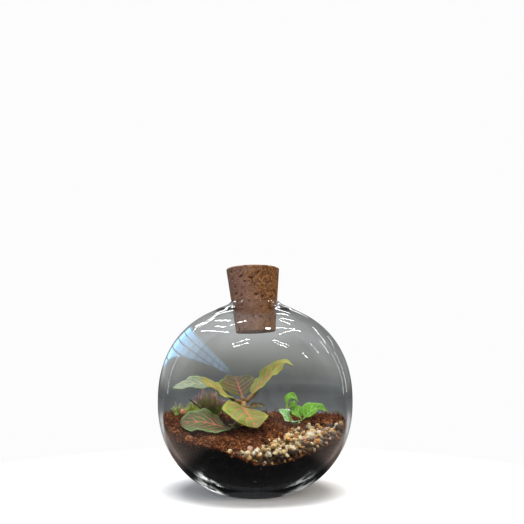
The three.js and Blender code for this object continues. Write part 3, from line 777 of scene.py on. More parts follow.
@dataclass(frozen=True)
class Finish:
    """What a surface looks like. Each kind of finish paints its own material."""

    name: str

    def material(self) -> bpy.types.Material:
        """Makes a new material with this finish.

        Returns:
            The material.
        """
        made = bpy.data.materials.new(self.name)
        tree = Tree.cleared(made)
        tree.node("OutputMaterial", {0: self.cover(tree, tree.wire("BsdfPrincipled", self.paint(tree)))})
        return made

    def paint(self, tree: Tree) -> dict[str, Fed]:
        """What feeds the surface shader.

        Args:
            tree: The material's node tree.

        Returns:
            A wire or a value for each input that isn't left as it is.
        """
        raise NotImplementedError

    def cover(self, tree: Tree, surface: Wire) -> Wire:
        """The surface shader as it is, unless a finish adds to it."""
        return surface

    def uneven(self, tree: Tree, height: Wire, least: float, most: float) -> Wire:
        """Roughness that follows a noisy height."""
        return tree.span(height, 0.3, 0.7, least, most)


@dataclass(frozen=True)
class GlassFinish(Finish):
    """Clear blown glass, very slightly uneven and smudged."""

    tint: Colour = (0.93, 0.95, 0.945, 1)
    index: float = 1.47
    clearness: float = 0.97

    def paint(self, tree: Tree) -> dict[str, Fed]:
        """What feeds the surface shader.

        Args:
            tree: The material's node tree.

        Returns:
            Tinted glass with smudges, whose surface waves a little.
        """
        return {
            "Base Color": self.tint,
            "IOR": self.index,
            "Transmission Weight": 1.0,
            "Roughness": tree.span(tree.noise(28, 4, 0.6), 0.58, 0.82, 0, 0.014),
            "Normal": tree.bump(tree.noise(14, 1), 0.06, 0.5),
        }

    def cover(self, tree: Tree, surface: Wire) -> Wire:
        """Lets the light for what is inside through.

        Args:
            tree: The material's node tree.
            surface: The surface shader.

        Returns:
            The glass, which is clear to shadow rays and diffuse rays.
        """
        path = tree.node("LightPath")
        share = tree.math("MAXIMUM", path["Is Shadow Ray"], path["Is Diffuse Ray"])
        clear = tree.wire("BsdfTransparent", {0: grey(self.clearness)})
        return tree.wire("MixShader", {0: share, 1: surface, 2: clear})


@dataclass(frozen=True)
class CorkFinish(Finish):
    """Agglomerated cork: pressed granules of mixed browns, with dark gaps and pits, partly dark joints and
    partly painted shade.
    """

    dark: Colour = tone(80, 48, 34)
    middle: Colour = tone(134, 90, 60)
    light: Colour = tone(186, 136, 82)
    # Pinkish pale of painted cool light on the cork's left side
    cool_left: Colour = tone(168, 128, 112)
    # The dark of the joints between granules, and of painted shade in the deepest gaps and pits
    gap: Colour = tone(46, 26, 16)

    def paint(self, tree: Tree) -> dict[str, Fed]:
        """What feeds the surface shader.

        Args:
            tree: The material's node tree.

        Returns:
            Granules of two sizes, painted paler at the left as if lit by cool light, and dark in the gaps and
            pits: the joints between granules, and painted shade by their depth.
        """
        coarse = tree.group(GROUPS.grains, Size=1.6, Gap=0.14)
        fine = tree.group(GROUPS.grains, Size=0.85, Gap=0.2)
        blend = coarse["Tone"] * 0.45 + fine["Tone"] * 0.55
        colour = tree.ramp(blend, (0.1, self.dark), (0.42, self.middle), (0.85, self.light))
        # Painted light: the left side turns pinkish pale in patches, as if lit by cool light from the left
        cool_left = tree.noise(30) + tree.parts(tree.place())[0] * -9
        colour = tree.mix(tree.span(cool_left, 0.42, 0.72, 0, 0.78), colour, self.cool_left)
        # Dark joints between granules, and painted shade in gaps and pits by their depth, which the rise
        # attribute carries
        gaps = tree.math("MAXIMUM", coarse["Gap"], tree.attribute("rise"))
        return {
            "Base Color": tree.mix(gaps * 0.7, colour, self.gap),
            "Roughness": tree.span(fine["Tone"], 0, 1, 0.74, 0.95),
            "Normal": tree.bump(fine["Tone"] - gaps * 1.5, 0.55, 0.35),
            "Specular IOR Level": 0.25,
        }


@dataclass(frozen=True)
class EarthFinish(Finish):
    """Soil: every crumb has its own tone, from dark to light, with a few pale specks."""

    dark: Colour
    middle: Colour
    light: Colour
    speck: Colour
    # Near black of the painted shadow under the leaves
    shadow_tone: Colour = tone(10, 7, 6)
    specks: float = 0.0
    grain: float = 900.0
    # Painted shadow under the nerve plant's leaves: its place in x and y, and its reach, in metres
    leaf_shadow: tuple[float, ...] = ()

    def paint(self, tree: Tree) -> dict[str, Fed]:
        """What feeds the surface shader.

        Args:
            tree: The material's node tree.

        Returns:
            The crumbs' tones, with specks, and a painted shadow under the leaves, where the soil has them.
        """
        black, white = grey(0), grey(1)
        spots = tree.group(GROUPS.mottle, First=black, Second=white, Scale=self.grain, Contrast=0.22)
        share = tree.attribute("tint") * 0.6 + spots["Color"] * 0.4
        colour = tree.ramp(share, (0.16, self.dark), (0.5, self.middle), (0.88, self.light))
        if self.specks:
            mask = tree.span(tree.cells(520)["Color"], 1 - self.specks, 1 - self.specks * 0.6)
            colour = tree.mix(mask, colour, self.speck)
        # Painted shadow: the soil darkens to near black around a place under the leaves
        if self.leaf_shadow:
            x, y, reach = self.leaf_shadow
            level = tree.wire("VectorMath", {0: tree.place(), 1: (1, 1, 0)}, operation="MULTIPLY")
            away = tree.node("VectorMath", {0: level, 1: (x, y, 0)}, operation="DISTANCE")["Value"]
            colour = tree.mix(tree.span(away, 0.5 * reach, reach, 0.9, 0), colour, self.shadow_tone)
        return {
            "Base Color": colour,
            "Roughness": self.uneven(tree, spots["Height"], 0.78, 0.98),
            "Normal": tree.bump(spots["Height"], 0.7, 0.4),
            "Specular IOR Level": 0.2,
        }


@dataclass(frozen=True)
class StoneFinish(Finish):
    """Washed gravel: cream and white quartz among amber, pinkish, grey and dark stones."""

    kinds: tuple[tuple[float, Colour], ...] = (
        (0.0, tone(214, 194, 150)), (0.18, tone(228, 216, 190)), (0.3, tone(202, 170, 114)),
        (0.46, tone(184, 142, 86)), (0.57, tone(220, 200, 158)), (0.7, tone(206, 140, 62)),
        (0.78, tone(150, 112, 70)), (0.84, tone(146, 138, 124)), (0.9, tone(74, 68, 62)),
        (0.95, tone(204, 160, 134)),
    )
    cloud: Colour = (0.5, 0.46, 0.4, 1)
    stain: Colour = tone(128, 86, 44)
    # Dark brown of painted shade, for stones deep in the bank and low at the glass on the right
    painted_shade: Colour = tone(58, 38, 22)

    def paint(self, tree: Tree) -> dict[str, Fed]:
        """What feeds the surface shader.

        Args:
            tree: The material's node tree.

        Returns:
            Cloudy stones with brown stains, and dark brown painted shade where their rise says that they lie
            deep in the bank.
        """
        colour = tree.ramp(tree.attribute("tint"), *self.kinds, hard=True)
        cloudy = tree.group(GROUPS.mottle, First=self.cloud, Second=grey(1), Scale=260, Contrast=0.25)
        colour = tree.mix(0.6, colour, cloudy["Color"], "MULTIPLY")
        colour = tree.mix(tree.span(tree.noise(520, 4), 0.56, 0.72, 0, 0.55), colour, self.stain)
        # The rise attribute carries the painted shade of each stone
        return {
            "Base Color": tree.mix(tree.span(tree.attribute("rise"), 0.08, 0.6, 0, 0.94), colour, self.painted_shade),
            "Roughness": self.uneven(tree, cloudy["Height"], 0.28, 0.55),
            "Normal": tree.bump(cloudy["Height"], 0.35, 0.3),
            "Subsurface Weight": 0.12,
            "Subsurface Radius": (0.002, 0.0015, 0.001),
        }


@dataclass(frozen=True)
class LeafFinish(Finish):
    """A leaf's blade: green with veins, a fine net and a margin of other colours."""

    base: Colour
    shade: Colour
    vein: Colour
    half_width: float
    length: float
    count: float
    margin: Colour = tone(176, 180, 80)
    vein_weight: float = 0.9
    net_weight: float = 0.45
    margin_weight: float = 0.5
    roughness: float = 0.45
    sweep: float = 0.3
    width: float = 0.12
    midrib: float = 0.06
    net_size: float = 3.0
    glow: float = 0.12

    def paint(self, tree: Tree) -> dict[str, Fed]:
        """What feeds the surface shader.

        Args:
            tree: The material's node tree.

        Returns:
            Mottled green with the margin, the net and the veins over it, which are a little sunk.
        """
        veins = tree.group(
            GROUPS.veins, Count=self.count, Sweep=self.sweep, Width=self.width, Midrib=self.midrib,
            Length=self.length, Half_Width=self.half_width, Net_Size=self.net_size,
        )
        patches = tree.group(GROUPS.mottle, First=self.shade, Second=self.base, Scale=90, Contrast=0.22)
        colour = tree.mix(veins["Margin"] * self.margin_weight, patches["Color"], self.margin)
        colour = tree.mix(veins["Net"] * self.net_weight, colour, self.vein)
        sunk = veins["Veins"] + veins["Net"] * 0.5
        return {
            "Base Color": tree.mix(veins["Veins"] * self.vein_weight, colour, self.vein),
            "Roughness": self.uneven(tree, patches["Height"], self.roughness - 0.08, self.roughness + 0.12),
            "Normal": tree.bump(patches["Height"] * 0.3 - sunk, 0.6, 0.4),
            "Subsurface Weight": self.glow,
            "Subsurface Radius": (0.0012, 0.0018, 0.0006),
            "Specular IOR Level": 0.4,
        }


@dataclass(frozen=True)
class ShootFinish(Finish):
    """Stems and shoots: from one colour at the foot to another at the tip, each a little different."""

    foot: Colour
    body: Colour
    tip: Colour
    other: Colour
    tip_start: float = 0.7
    roughness: float = 0.6

    def paint(self, tree: Tree) -> dict[str, Fed]:
        """What feeds the surface shader.

        Args:
            tree: The material's node tree.

        Returns:
            The colours along the rise, with some shoots towards the other colour.
        """
        stops = ((0.0, self.foot), (0.35, self.body), (self.tip_start, self.body), (1.0, self.tip))
        colour = tree.ramp(tree.attribute("rise"), *stops)
        colour = tree.mix(tree.span(tree.attribute("tint"), 0.3, 1, 0, 0.6), colour, self.other)
        mottled = tree.group(GROUPS.mottle, First=grey(0.62), Second=grey(1), Scale=420, Contrast=0.2)
        return {
            "Base Color": tree.mix(0.7, colour, mottled["Color"], "MULTIPLY"),
            "Roughness": self.uneven(tree, mottled["Height"], self.roughness - 0.1, self.roughness + 0.15),
            "Normal": tree.bump(mottled["Height"], 0.3, 0.2),
            "Subsurface Weight": 0.08,
            "Subsurface Radius": (0.001, 0.0012, 0.0005),
        }


@dataclass(frozen=True)
class BarkFinish(Finish):
    """Bark or old wood: streaked and rough."""

    dark: Colour
    light: Colour

    def paint(self, tree: Tree) -> dict[str, Fed]:
        """What feeds the surface shader.

        Args:
            tree: The material's node tree.

        Returns:
            Two browns, mottled and rough.
        """
        streaks = tree.group(GROUPS.mottle, First=self.dark, Second=self.light, Scale=620, Contrast=0.18)
        return {
            "Base Color": streaks["Color"],
            "Roughness": self.uneven(tree, streaks["Height"], 0.7, 0.95),
            "Normal": tree.bump(streaks["Height"], 0.8, 0.5),
        }


def show(
    name: str, form: BMesh | Copies, finishes: Sequence[Finish], node: str = "",
    smooth: bool = True,
) -> None:
    """Puts a finished form in the scene as a piece of the part.

    Args:
        name: The piece's name.
        form: A bmesh, in millimetres and in place, or gathered copies.
        finishes: Its finishes, in the order of its faces' material numbers.
        node: The CAD node that it stands for, or nothing for an added piece.
        smooth: Whether its faces are shaded smooth.
    """
    materials = [finish.material() for finish in finishes]
    mesh = form.mesh(name) if isinstance(form, Copies) else mesh_of(form, name)
    made = bpy.data.objects.new(name, mesh)
    bpy.context.scene.collection.objects.link(made)
    for material in materials:
        mesh.materials.append(material)
    mesh.polygons.foreach_set("use_smooth", [smooth] * len(mesh.polygons))
    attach(made, BODY)
    if node:
        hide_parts(node)
    mesh.calc_loop_triangles()
    LOG.info("%s: %d triangles", name, len(mesh.loop_triangles))


# Sub-assemblies


@dataclass(frozen=True)
class Globe:
    """The blown glass: a squarish round globe with a flat foot, a short collar and an open mouth."""

    radius: float = 90.0
    half_height: float = 89.5
    centre_z: float = 86.0
    squareness: float = 2.2
    wall: float = 3.0
    base: float = 3.2
    shoulder_radius: float = 39.0
    rim_rise: float = 91.4
    # Radii of the flared neck, and how far below the rim each one is
    neck: tuple[tuple[float, float], ...] = (
        (35.0, 6.45), (31.0, 4.7), (28.0, 3.45), (25.6, 2.2), (24.3, 1.2), (23.8, 0.55), (23.3, 0.08),
        (22.8, 0.08), (22.5, 0.45), (22.4, 1.2), (22.7, 2.6), (23.9, 4.4), (26.2, 6.2), (29.6, 8.0),
    )
    throat_radius: float = 34.0
    steps: int = 144
    arc_steps: int = 52
    neck_steps: int = 63
    finish: GlassFinish = GlassFinish("blown glass")

    def _arc(
        self, radius: float, below: float, above: float, start: float, end: float,
    ) -> list[tuple[float, float]]:
        """Part of the round profile.

        Args:
            radius: Its greatest radius.
            below: How far it reaches below the globe's centre.
            above: How far it reaches above it.
            start: The angle where it starts.
            end: The angle where it ends.

        Returns:
            Radii and heights.
        """
        power = 2 / self.squareness
        points = []
        for turn in np.linspace(start, end, self.arc_steps + 1):
            reach = below if turn < 0 else above
            height = math.copysign(reach * abs(math.sin(turn)) ** power, turn)
            points.append((radius * max(0.0, math.cos(turn)) ** power, self.centre_z + height))
        return points

    def inside_radius(self, height: float) -> float:
        """The free radius inside the glass.

        Args:
            height: The height above the ground.

        Returns:
            The radius there.
        """
        rise = height - self.centre_z
        reach = self.centre_z - self.base if rise < 0 else self.half_height - self.wall
        share = min(abs(rise) / reach, 1.0)
        return (self.radius - self.wall) * (1 - share**self.squareness) ** (1 / self.squareness)

    def profile(self) -> list[tuple[float, float]]:
        """The whole wall: outside from the foot up, over the rim, and inside down to the floor.

        Returns:
            Radii and heights.
        """
        half = self.squareness / 2
        foot = -math.asin((self.centre_z / self.half_height) ** half)
        shoulder = math.acos((self.shoulder_radius / self.radius) ** half)
        outer = self._arc(self.radius, self.half_height, self.half_height, foot, shoulder)
        rim = self.centre_z + self.rim_rise
        neck = [(radius, rim - below, 0) for radius, below in self.neck]
        inner_radius = self.radius - self.wall
        throat = math.acos((self.throat_radius / inner_radius) ** half)
        floor = self.centre_z - self.base
        inner = self._arc(inner_radius, floor, self.half_height - self.wall, throat, -math.pi / 2)
        collar = SmoothLine([(*outer[-1], 0), *neck, (*inner[0], 0)])
        lip = [tuple(collar.point(i / self.neck_steps)[:2]) for i in range(1, self.neck_steps)]
        foot_steps = [(outer[0][0] * share, outer[0][1]) for share in (0.0, 0.5, 0.9)]
        return [*foot_steps, *outer, *lip, *inner[:-1], (0.0, self.base)]

    def build(self) -> None:
        """Spins the profile and shows the globe."""
        show("globe_glass", spun(self.profile(), self.steps), [self.finish], "glass_globe")


@dataclass(frozen=True)
class Stopper:
    """The tapered cork, which leans a little in the mouth."""

    top_radius: float = 24.9
    foot_radius: float = 18.6
    length: float = 59.5
    edge: float = 0.9
    top_slope: float = 0.03
    lean: float = 2.9
    pivot_z: float = 161.7
    top_above_pivot: float = 47.3
    steps: int = 200
    side_rows: int = 84
    foot_rings: int = 18
    top_rings: int = 24
    # Size of the granules, how deep the grooves round them, the pits and the fine grain are
    granule: float = 1.6
    groove: float = 0.22
    pit: float = 1.3
    grain: float = 0.12
    # The depth from which on gaps and pits are darkest in their painted shade
    darkest: float = 0.7
    finish: CorkFinish = CorkFinish("pressed cork")

    def profile(self) -> list[tuple[float, float]]:
        """The cork's side view from the middle of the foot to the middle of the top.

        Returns:
            Radii and heights.
        """
        top = self.top_above_pivot
        foot = top - self.length
        points = [(self.foot_radius * i / self.foot_rings, foot) for i in range(self.foot_rings)]
        points = [point for point in points if point[0] < self.foot_radius - self.edge]
        for turn in np.linspace(-math.pi / 2, 0, 4):
            inset = self.edge * (1 - math.cos(turn))
            points.append((self.foot_radius - inset, foot + self.edge * (1 + math.sin(turn))))
        for share in np.linspace(0, 1, self.side_rows)[1:-1]:
            radius = self.foot_radius + (self.top_radius - self.foot_radius) * share
            points.append((radius, foot + self.edge + (self.length - 2 * self.edge) * share))
        for turn in np.linspace(0, math.pi / 2, 4):
            inset = self.edge * (1 - math.cos(turn))
            points.append((self.top_radius - inset, top - self.edge * (1 - math.sin(turn))))
        inner = [(self.top_radius * i / self.top_rings, top) for i in reversed(range(self.top_rings))]
        return points + [point for point in inner if point[0] < self.top_radius - self.edge]

    def _depth(self, place: Vector) -> float:
        """How deep the surface lies, for the gaps between granules and for pits.

        Args:
            place: A place on it.

        Returns:
            The depth.
        """
        distances = noise.voronoi(place / self.granule)[0]
        groove = self.groove * (1 - ease(0.0, 0.22, distances[1] - distances[0]))
        pit = self.pit * ease(0.36, 0.6, noise.noise(place / 3.4 + Vector((7, 3, 1))))
        return groove + pit + self.grain * abs(noise.noise(place / 0.9))

    def build(self) -> None:
        """Spins the cork, sinks its gaps and pits, and leans it in the mouth."""
        bm = spun(self.profile(), self.steps)
        bm.normal_update()
        # The rise attribute carries painted shade: the deeper a gap or pit, the darker the finish paints it
        mark(bm, "rise", lambda vert: self._depth(vert.co) / self.darkest)
        for vert in bm.verts:
            vert.co -= vert.normal * self._depth(vert.co)
            vert.co.z -= vert.co.x * self.top_slope * ease(0, self.top_above_pivot, vert.co.z)
        place = Matrix.Translation((0, 0, self.pivot_z)) @ Matrix.Rotation(-math.radians(self.lean), 4, "Y")
        bmesh.ops.transform(bm, matrix=place, verts=bm.verts[:])
        show("cork_body", bm, [self.finish], "cork_stopper")


@dataclass(frozen=True)
class Layer:
    """The body of one of the two soils."""

    node: str
    name: str
    slot: Slot
    finish: EarthFinish
    # The longest edge that is kept, how far crumbs lift or sink the surface, and how large they are
    longest: float
    heave: float
    crumb: float


@dataclass(frozen=True)
class Strewing:
    """Crumbs, fibres or grains that are strewn over a layer."""

    name: str
    layer: Layer
    slot: Slot
    finish: EarthFinish
    count: int
    seed: int
    shapes: Sequence[Shape]
    # Draws a crumb's size
    size: Callable[[random.Random], Point]
    # Whether a place, on a face that looks in a direction, gets a crumb
    keep: Callable[[Vector, Vector], bool]


@dataclass(frozen=True)
class Earth:
    """The dark substrate, and the coir on it, with their crumbs and fibres."""

    globe: Globe
    clearance: float = 0.3
    near_glass: float = 2.4
    flat: float = 0.15
    coir_crumbs: int = 7500
    coir_fibres: int = 5200
    dark_grains: int = 5200
    fringe_crumbs: int = 9000
    fringe_depth: float = 1.8
    coir: EarthFinish = EarthFinish(
        "coir", tone(22, 11, 8), tone(92, 51, 29), tone(182, 116, 68), tone(190, 150, 110),
        # A painted shadow under the nerve plant's leaves
        leaf_shadow=(-0.025, -0.012, 0.027),
    )
    substrate: EarthFinish = EarthFinish(
        "dark substrate", tone(8, 7, 7), tone(20, 17, 16), tone(44, 38, 34), tone(150, 146, 136), specks=0.05,
    )

    def _lay(self, layer: Layer) -> None:
        """Presses a copy of a layer's CAD node against the round glass, and roughens its surface.

        Args:
            layer: The layer.
        """
        bm = refined_copy(layer.node, layer.longest)
        for vert in bm.verts:
            rough = noise.noise(vert.co / layer.crumb) + 0.6 * noise.noise(vert.co / (layer.crumb * 0.4))
            rough += 1.1 * noise.noise(vert.co / (layer.crumb * 2.2))
            out = math.hypot(vert.co.x, vert.co.y)
            room = self.globe.inside_radius(vert.co.z) - self.clearance
            if out > room - self.near_glass:
                wanted = room - max(0.0, 0.45 * layer.heave * (rough + 0.6))
                vert.co.x *= wanted / out
                vert.co.y *= wanted / out
            elif vert.co.z > self.globe.base + 2:
                vert.co += vert.normal * layer.heave * rough
        source = random.Random(3)
        mark(bm, "tint", lambda vert: 0.3 * source.random() + 0.25 + 0.5 * noise.noise(vert.co / 5))
        show(layer.name, bm, [layer.finish], layer.node)

    def _strew(self, what: Strewing) -> None:
        """Strews crumbs over a layer.

        Args:
            what: The crumbs.
        """
        surface = Surface(what.layer.node)
        draw = np.random.default_rng(what.seed)
        source = random.Random(what.seed)
        at_glass = surface.reach > surface.room(self.globe) - self.near_glass
        wanted = (surface.normals[:, 2] > self.flat) | (at_glass & (np.abs(surface.normals[:, 2]) < 0.93))
        copies = Copies()
        for place, normal in surface.draw(draw, what.count, wanted):
            if not what.keep(place, normal):
                continue
            scale = what.size(source)
            place = place + normal * 0.25 * scale[0]
            pulled_in(place, self.globe.inside_radius(place.z) - self.clearance - 0.75 * scale[0])
            patch = 0.45 + 1.0 * noise.noise(place / 5) + 0.8 * noise.noise(place / 2)
            tint = unit(0.5 * source.random() + 0.5 * patch)
            copies.add(source.choice(what.shapes), turned(source, place, scale), tint)
        show(what.name, copies, [what.finish], smooth=False)

    def build(self) -> None:
        """Builds both layers and strews them."""
        source = random.Random(17)
        crumbs = [crumb(source, 0.3, 0.8) for _ in range(8)]
        fibres = [fibre(source) for _ in range(8)]
        gravel = Surface("gravel_bed")
        coir = Surface("coir_topsoil")
        chance = random.Random(19)

        def crumb_size(draw: random.Random) -> Point:
            """A crumb of coir: many small, few large."""
            base = 0.5 + 1.6 * draw.random() ** 2.4
            return (base * draw.uniform(0.8, 1.5), base, base * draw.uniform(0.7, 1.1))

        def fibre_size(draw: random.Random) -> Point:
            """A fibre: thin, and several millimetres long."""
            return (5.4, 5.4, draw.uniform(2.2, 7.0))

        def grain_size(draw: random.Random) -> Point:
            """A grain of the dark substrate."""
            base = draw.uniform(0.4, 1.2)
            return (base, base * draw.uniform(0.7, 1.0), base)

        def bare_of(cover: Surface) -> Callable[[Vector, Vector], bool]:
            """Whether a place isn't covered by a node, where its face looks up."""
            return lambda place, normal: normal.z <= self.flat or not cover.covers(place)

        def just_below(place: Vector, normal: Vector) -> bool:
            """Whether a crumb of coir has slipped down along the glass.

            Args:
                place: A place on the substrate.
                normal: The direction that its face looks in.

            Returns:
                Whether one lies there, the more likely the nearer the coir is above.
            """
            if normal.z > 0.9 or gravel.covers(place):
                return False
            inward = place - Vector((place.x, place.y, 0)).normalized() * 1.5
            distance = coir.tree.ray_cast(inward, UP)[3]
            return distance is not None and chance.random() < math.exp(-distance / self.fringe_depth)

        low = Layer("black_substrate", "substrate_fill", Slot.SUBSTRATE, self.substrate, 3.2, 0.9, 2.0)
        top = Layer("coir_topsoil", "coir_ground", Slot.COIR, self.coir, 1.9, 1.7, 3.4)
        self._lay(low)
        self._lay(top)
        coir_looks = (Slot.COIR, self.coir)
        open_coir, open_substrate = bare_of(gravel), bare_of(coir)
        for what in (
            Strewing("coir_crumbs", top, *coir_looks, self.coir_crumbs, 41, crumbs, crumb_size, open_coir),
            Strewing("coir_fibres", top, *coir_looks, self.coir_fibres, 43, fibres, fibre_size, open_coir),
            Strewing("coir_fringe", low, *coir_looks, self.fringe_crumbs, 53, crumbs, crumb_size, just_below),
            Strewing(
                "substrate_grains", low, low.slot, low.finish, self.dark_grains, 47, crumbs, grain_size,
                open_substrate,
            ),
        ):
            self._strew(what)


@dataclass(frozen=True)
class Gravel:
    """Washed stones of many colours, banked up at the front right."""

    globe: Globe
    least: float = 2.0
    most: float = 4.0
    spacing: float = 0.55
    clearance: float = 0.35
    tries: int = 24000
    foot: float = 8.0
    # How deep under the bank's top a stone lies where its painted shade is full
    deep: float = 10.0
    sunk: float = 1.5
    kinds: int = 14
    # The short run of stones past the bank's left end: its ends, and its lower and upper edge
    spill: tuple[tuple[float, float], tuple[float, float]] = ((-20.5, -2.0), (46.5, 57.0))
    stone: StoneFinish = StoneFinish("washed gravel")
    # Sand between the stones, its dark browns partly painted shade in the gaps
    bed: EarthFinish = EarthFinish(
        "sand between the stones", tone(40, 28, 18), tone(96, 74, 50), tone(150, 124, 86),
        tone(200, 190, 160),
    )

    def _pebble(self, source: random.Random) -> Shape:
        """A stone with a few flats rubbed by wear, and rounded corners.

        Args:
            source: The seeded random source.

        Returns:
            The stone, of a radius near 1.
        """
        bm = bmesh.new()
        bmesh.ops.create_icosphere(bm, subdivisions=2, radius=1)
        for _ in range(source.randint(8, 11)):
            side = Vector([source.gauss(0, 1) for _ in range(3)]).normalized()
            limit = source.uniform(0.46, 0.72)
            for vert in bm.verts:
                over = vert.co.dot(side) - limit
                if over > 0:
                    vert.co -= side * over
        bmesh.ops.smooth_vert(
            bm, verts=bm.verts[:], factor=0.06, use_axis_x=True, use_axis_y=True, use_axis_z=True,
        )
        stretch = (source.uniform(1.0, 1.35), source.uniform(0.95, 1.2), source.uniform(0.8, 1.05))
        bmesh.ops.scale(bm, vec=stretch, verts=bm.verts[:])
        return Shape.of(bm)

    def _spilled(self, place: Vector) -> bool:
        """Whether a place at the front glass is in the short run of stones past the bank's left end."""
        (left, right), (low, high) = self.spill
        return place.y < 0 and left < place.x < right and low < place.z - 0.25 * place.x < high

    def _places(self, surface: Surface) -> list[tuple[Vector, Vector]]:
        """Draws places for stones, on the bank and just below it at the glass.

        Args:
            surface: The bank's CAD node.

        Returns:
            Places and the directions that their faces look in.
        """
        coir = Surface("coir_topsoil")
        wanted = (surface.normals[:, 2] > -0.1) | (surface.reach > surface.room(self.globe) - 4)
        draw = np.random.default_rng(29)
        places = surface.draw(draw, self.tries, wanted)
        below = coir.draw(draw, self.tries, np.abs(coir.normals[:, 2]) < 0.9)
        return places + [
            (place, normal) for place, normal in below
            if surface.tree.ray_cast(place - normal * 2, UP, self.foot)[0] is not None or self._spilled(place)
        ]

    def build(self) -> None:
        """Lays the stones over the CAD bank, and sand in the gaps between them, darkened partly as painted
        shade.
        """
        bm = refined_copy("gravel_bed", 4.0)
        for vert in bm.verts:
            vert.co -= vert.normal * self.sunk
        # One low tint keeps the whole bed dark, partly as painted shade between the stones
        mark(bm, "tint", lambda vert: 0.3)
        show("gravel_bank", bm, [self.bed], "gravel_bed")
        surface = Surface("gravel_bed")
        source = random.Random(23)
        shapes = [self._pebble(source) for _ in range(self.kinds)]
        copies = Copies()
        kept: list[tuple[Vector, float]] = []
        for place, normal in self._places(surface):
            radius = self.least + (self.most - self.least) * source.random() ** 1.3
            place = place - normal * radius * 0.75
            limit = self.globe.inside_radius(place.z) - self.clearance - radius * 1.1
            reach = pulled_in(place, limit)
            if any((place - other).length < self.spacing * (radius + size) for other, size in kept):
                continue
            kept.append((place, radius))
            # Painted shade: stones under the bank's top, and low against the glass on the right, are made
            # dark brown through their rise
            above = surface.tree.ray_cast(place, UP)[3] or 0.0
            painted_shade = ease(0, 30, place.x) * ease(5, 1.5, limit - reach) * ease(0.5, 3, above)
            shape = source.choice(shapes)
            shade_share = np.full(len(shape.corners), unit(max(painted_shade, above / self.deep)))
            shape = Shape(shape.corners, shape.faces, shade_share)
            copies.add(shape, turned(source, place, (radius,) * 3), source.random())
        LOG.info("gravel: %d stones", len(kept))
        show("gravel_stones", copies, [self.stone])


STALK = ShootFinish(
    "leaf stalk", tone(128, 98, 58), tone(192, 162, 100), tone(184, 144, 94), tone(176, 118, 86),
)
SEEDLING_STALK = ShootFinish(
    "seedling stalk", tone(156, 180, 84), tone(134, 186, 70), tone(124, 184, 64), tone(150, 190, 96),
)
# Sizes of the leaves of young shoots, which have fewer faces
SMALL = dict(
    stalk=0.2, wave=0.3, waves=1, pucker=0.2, ruffle=0.12, thickness=0.4, stalk_radius=0.5, rows=16,
    columns=8,
)


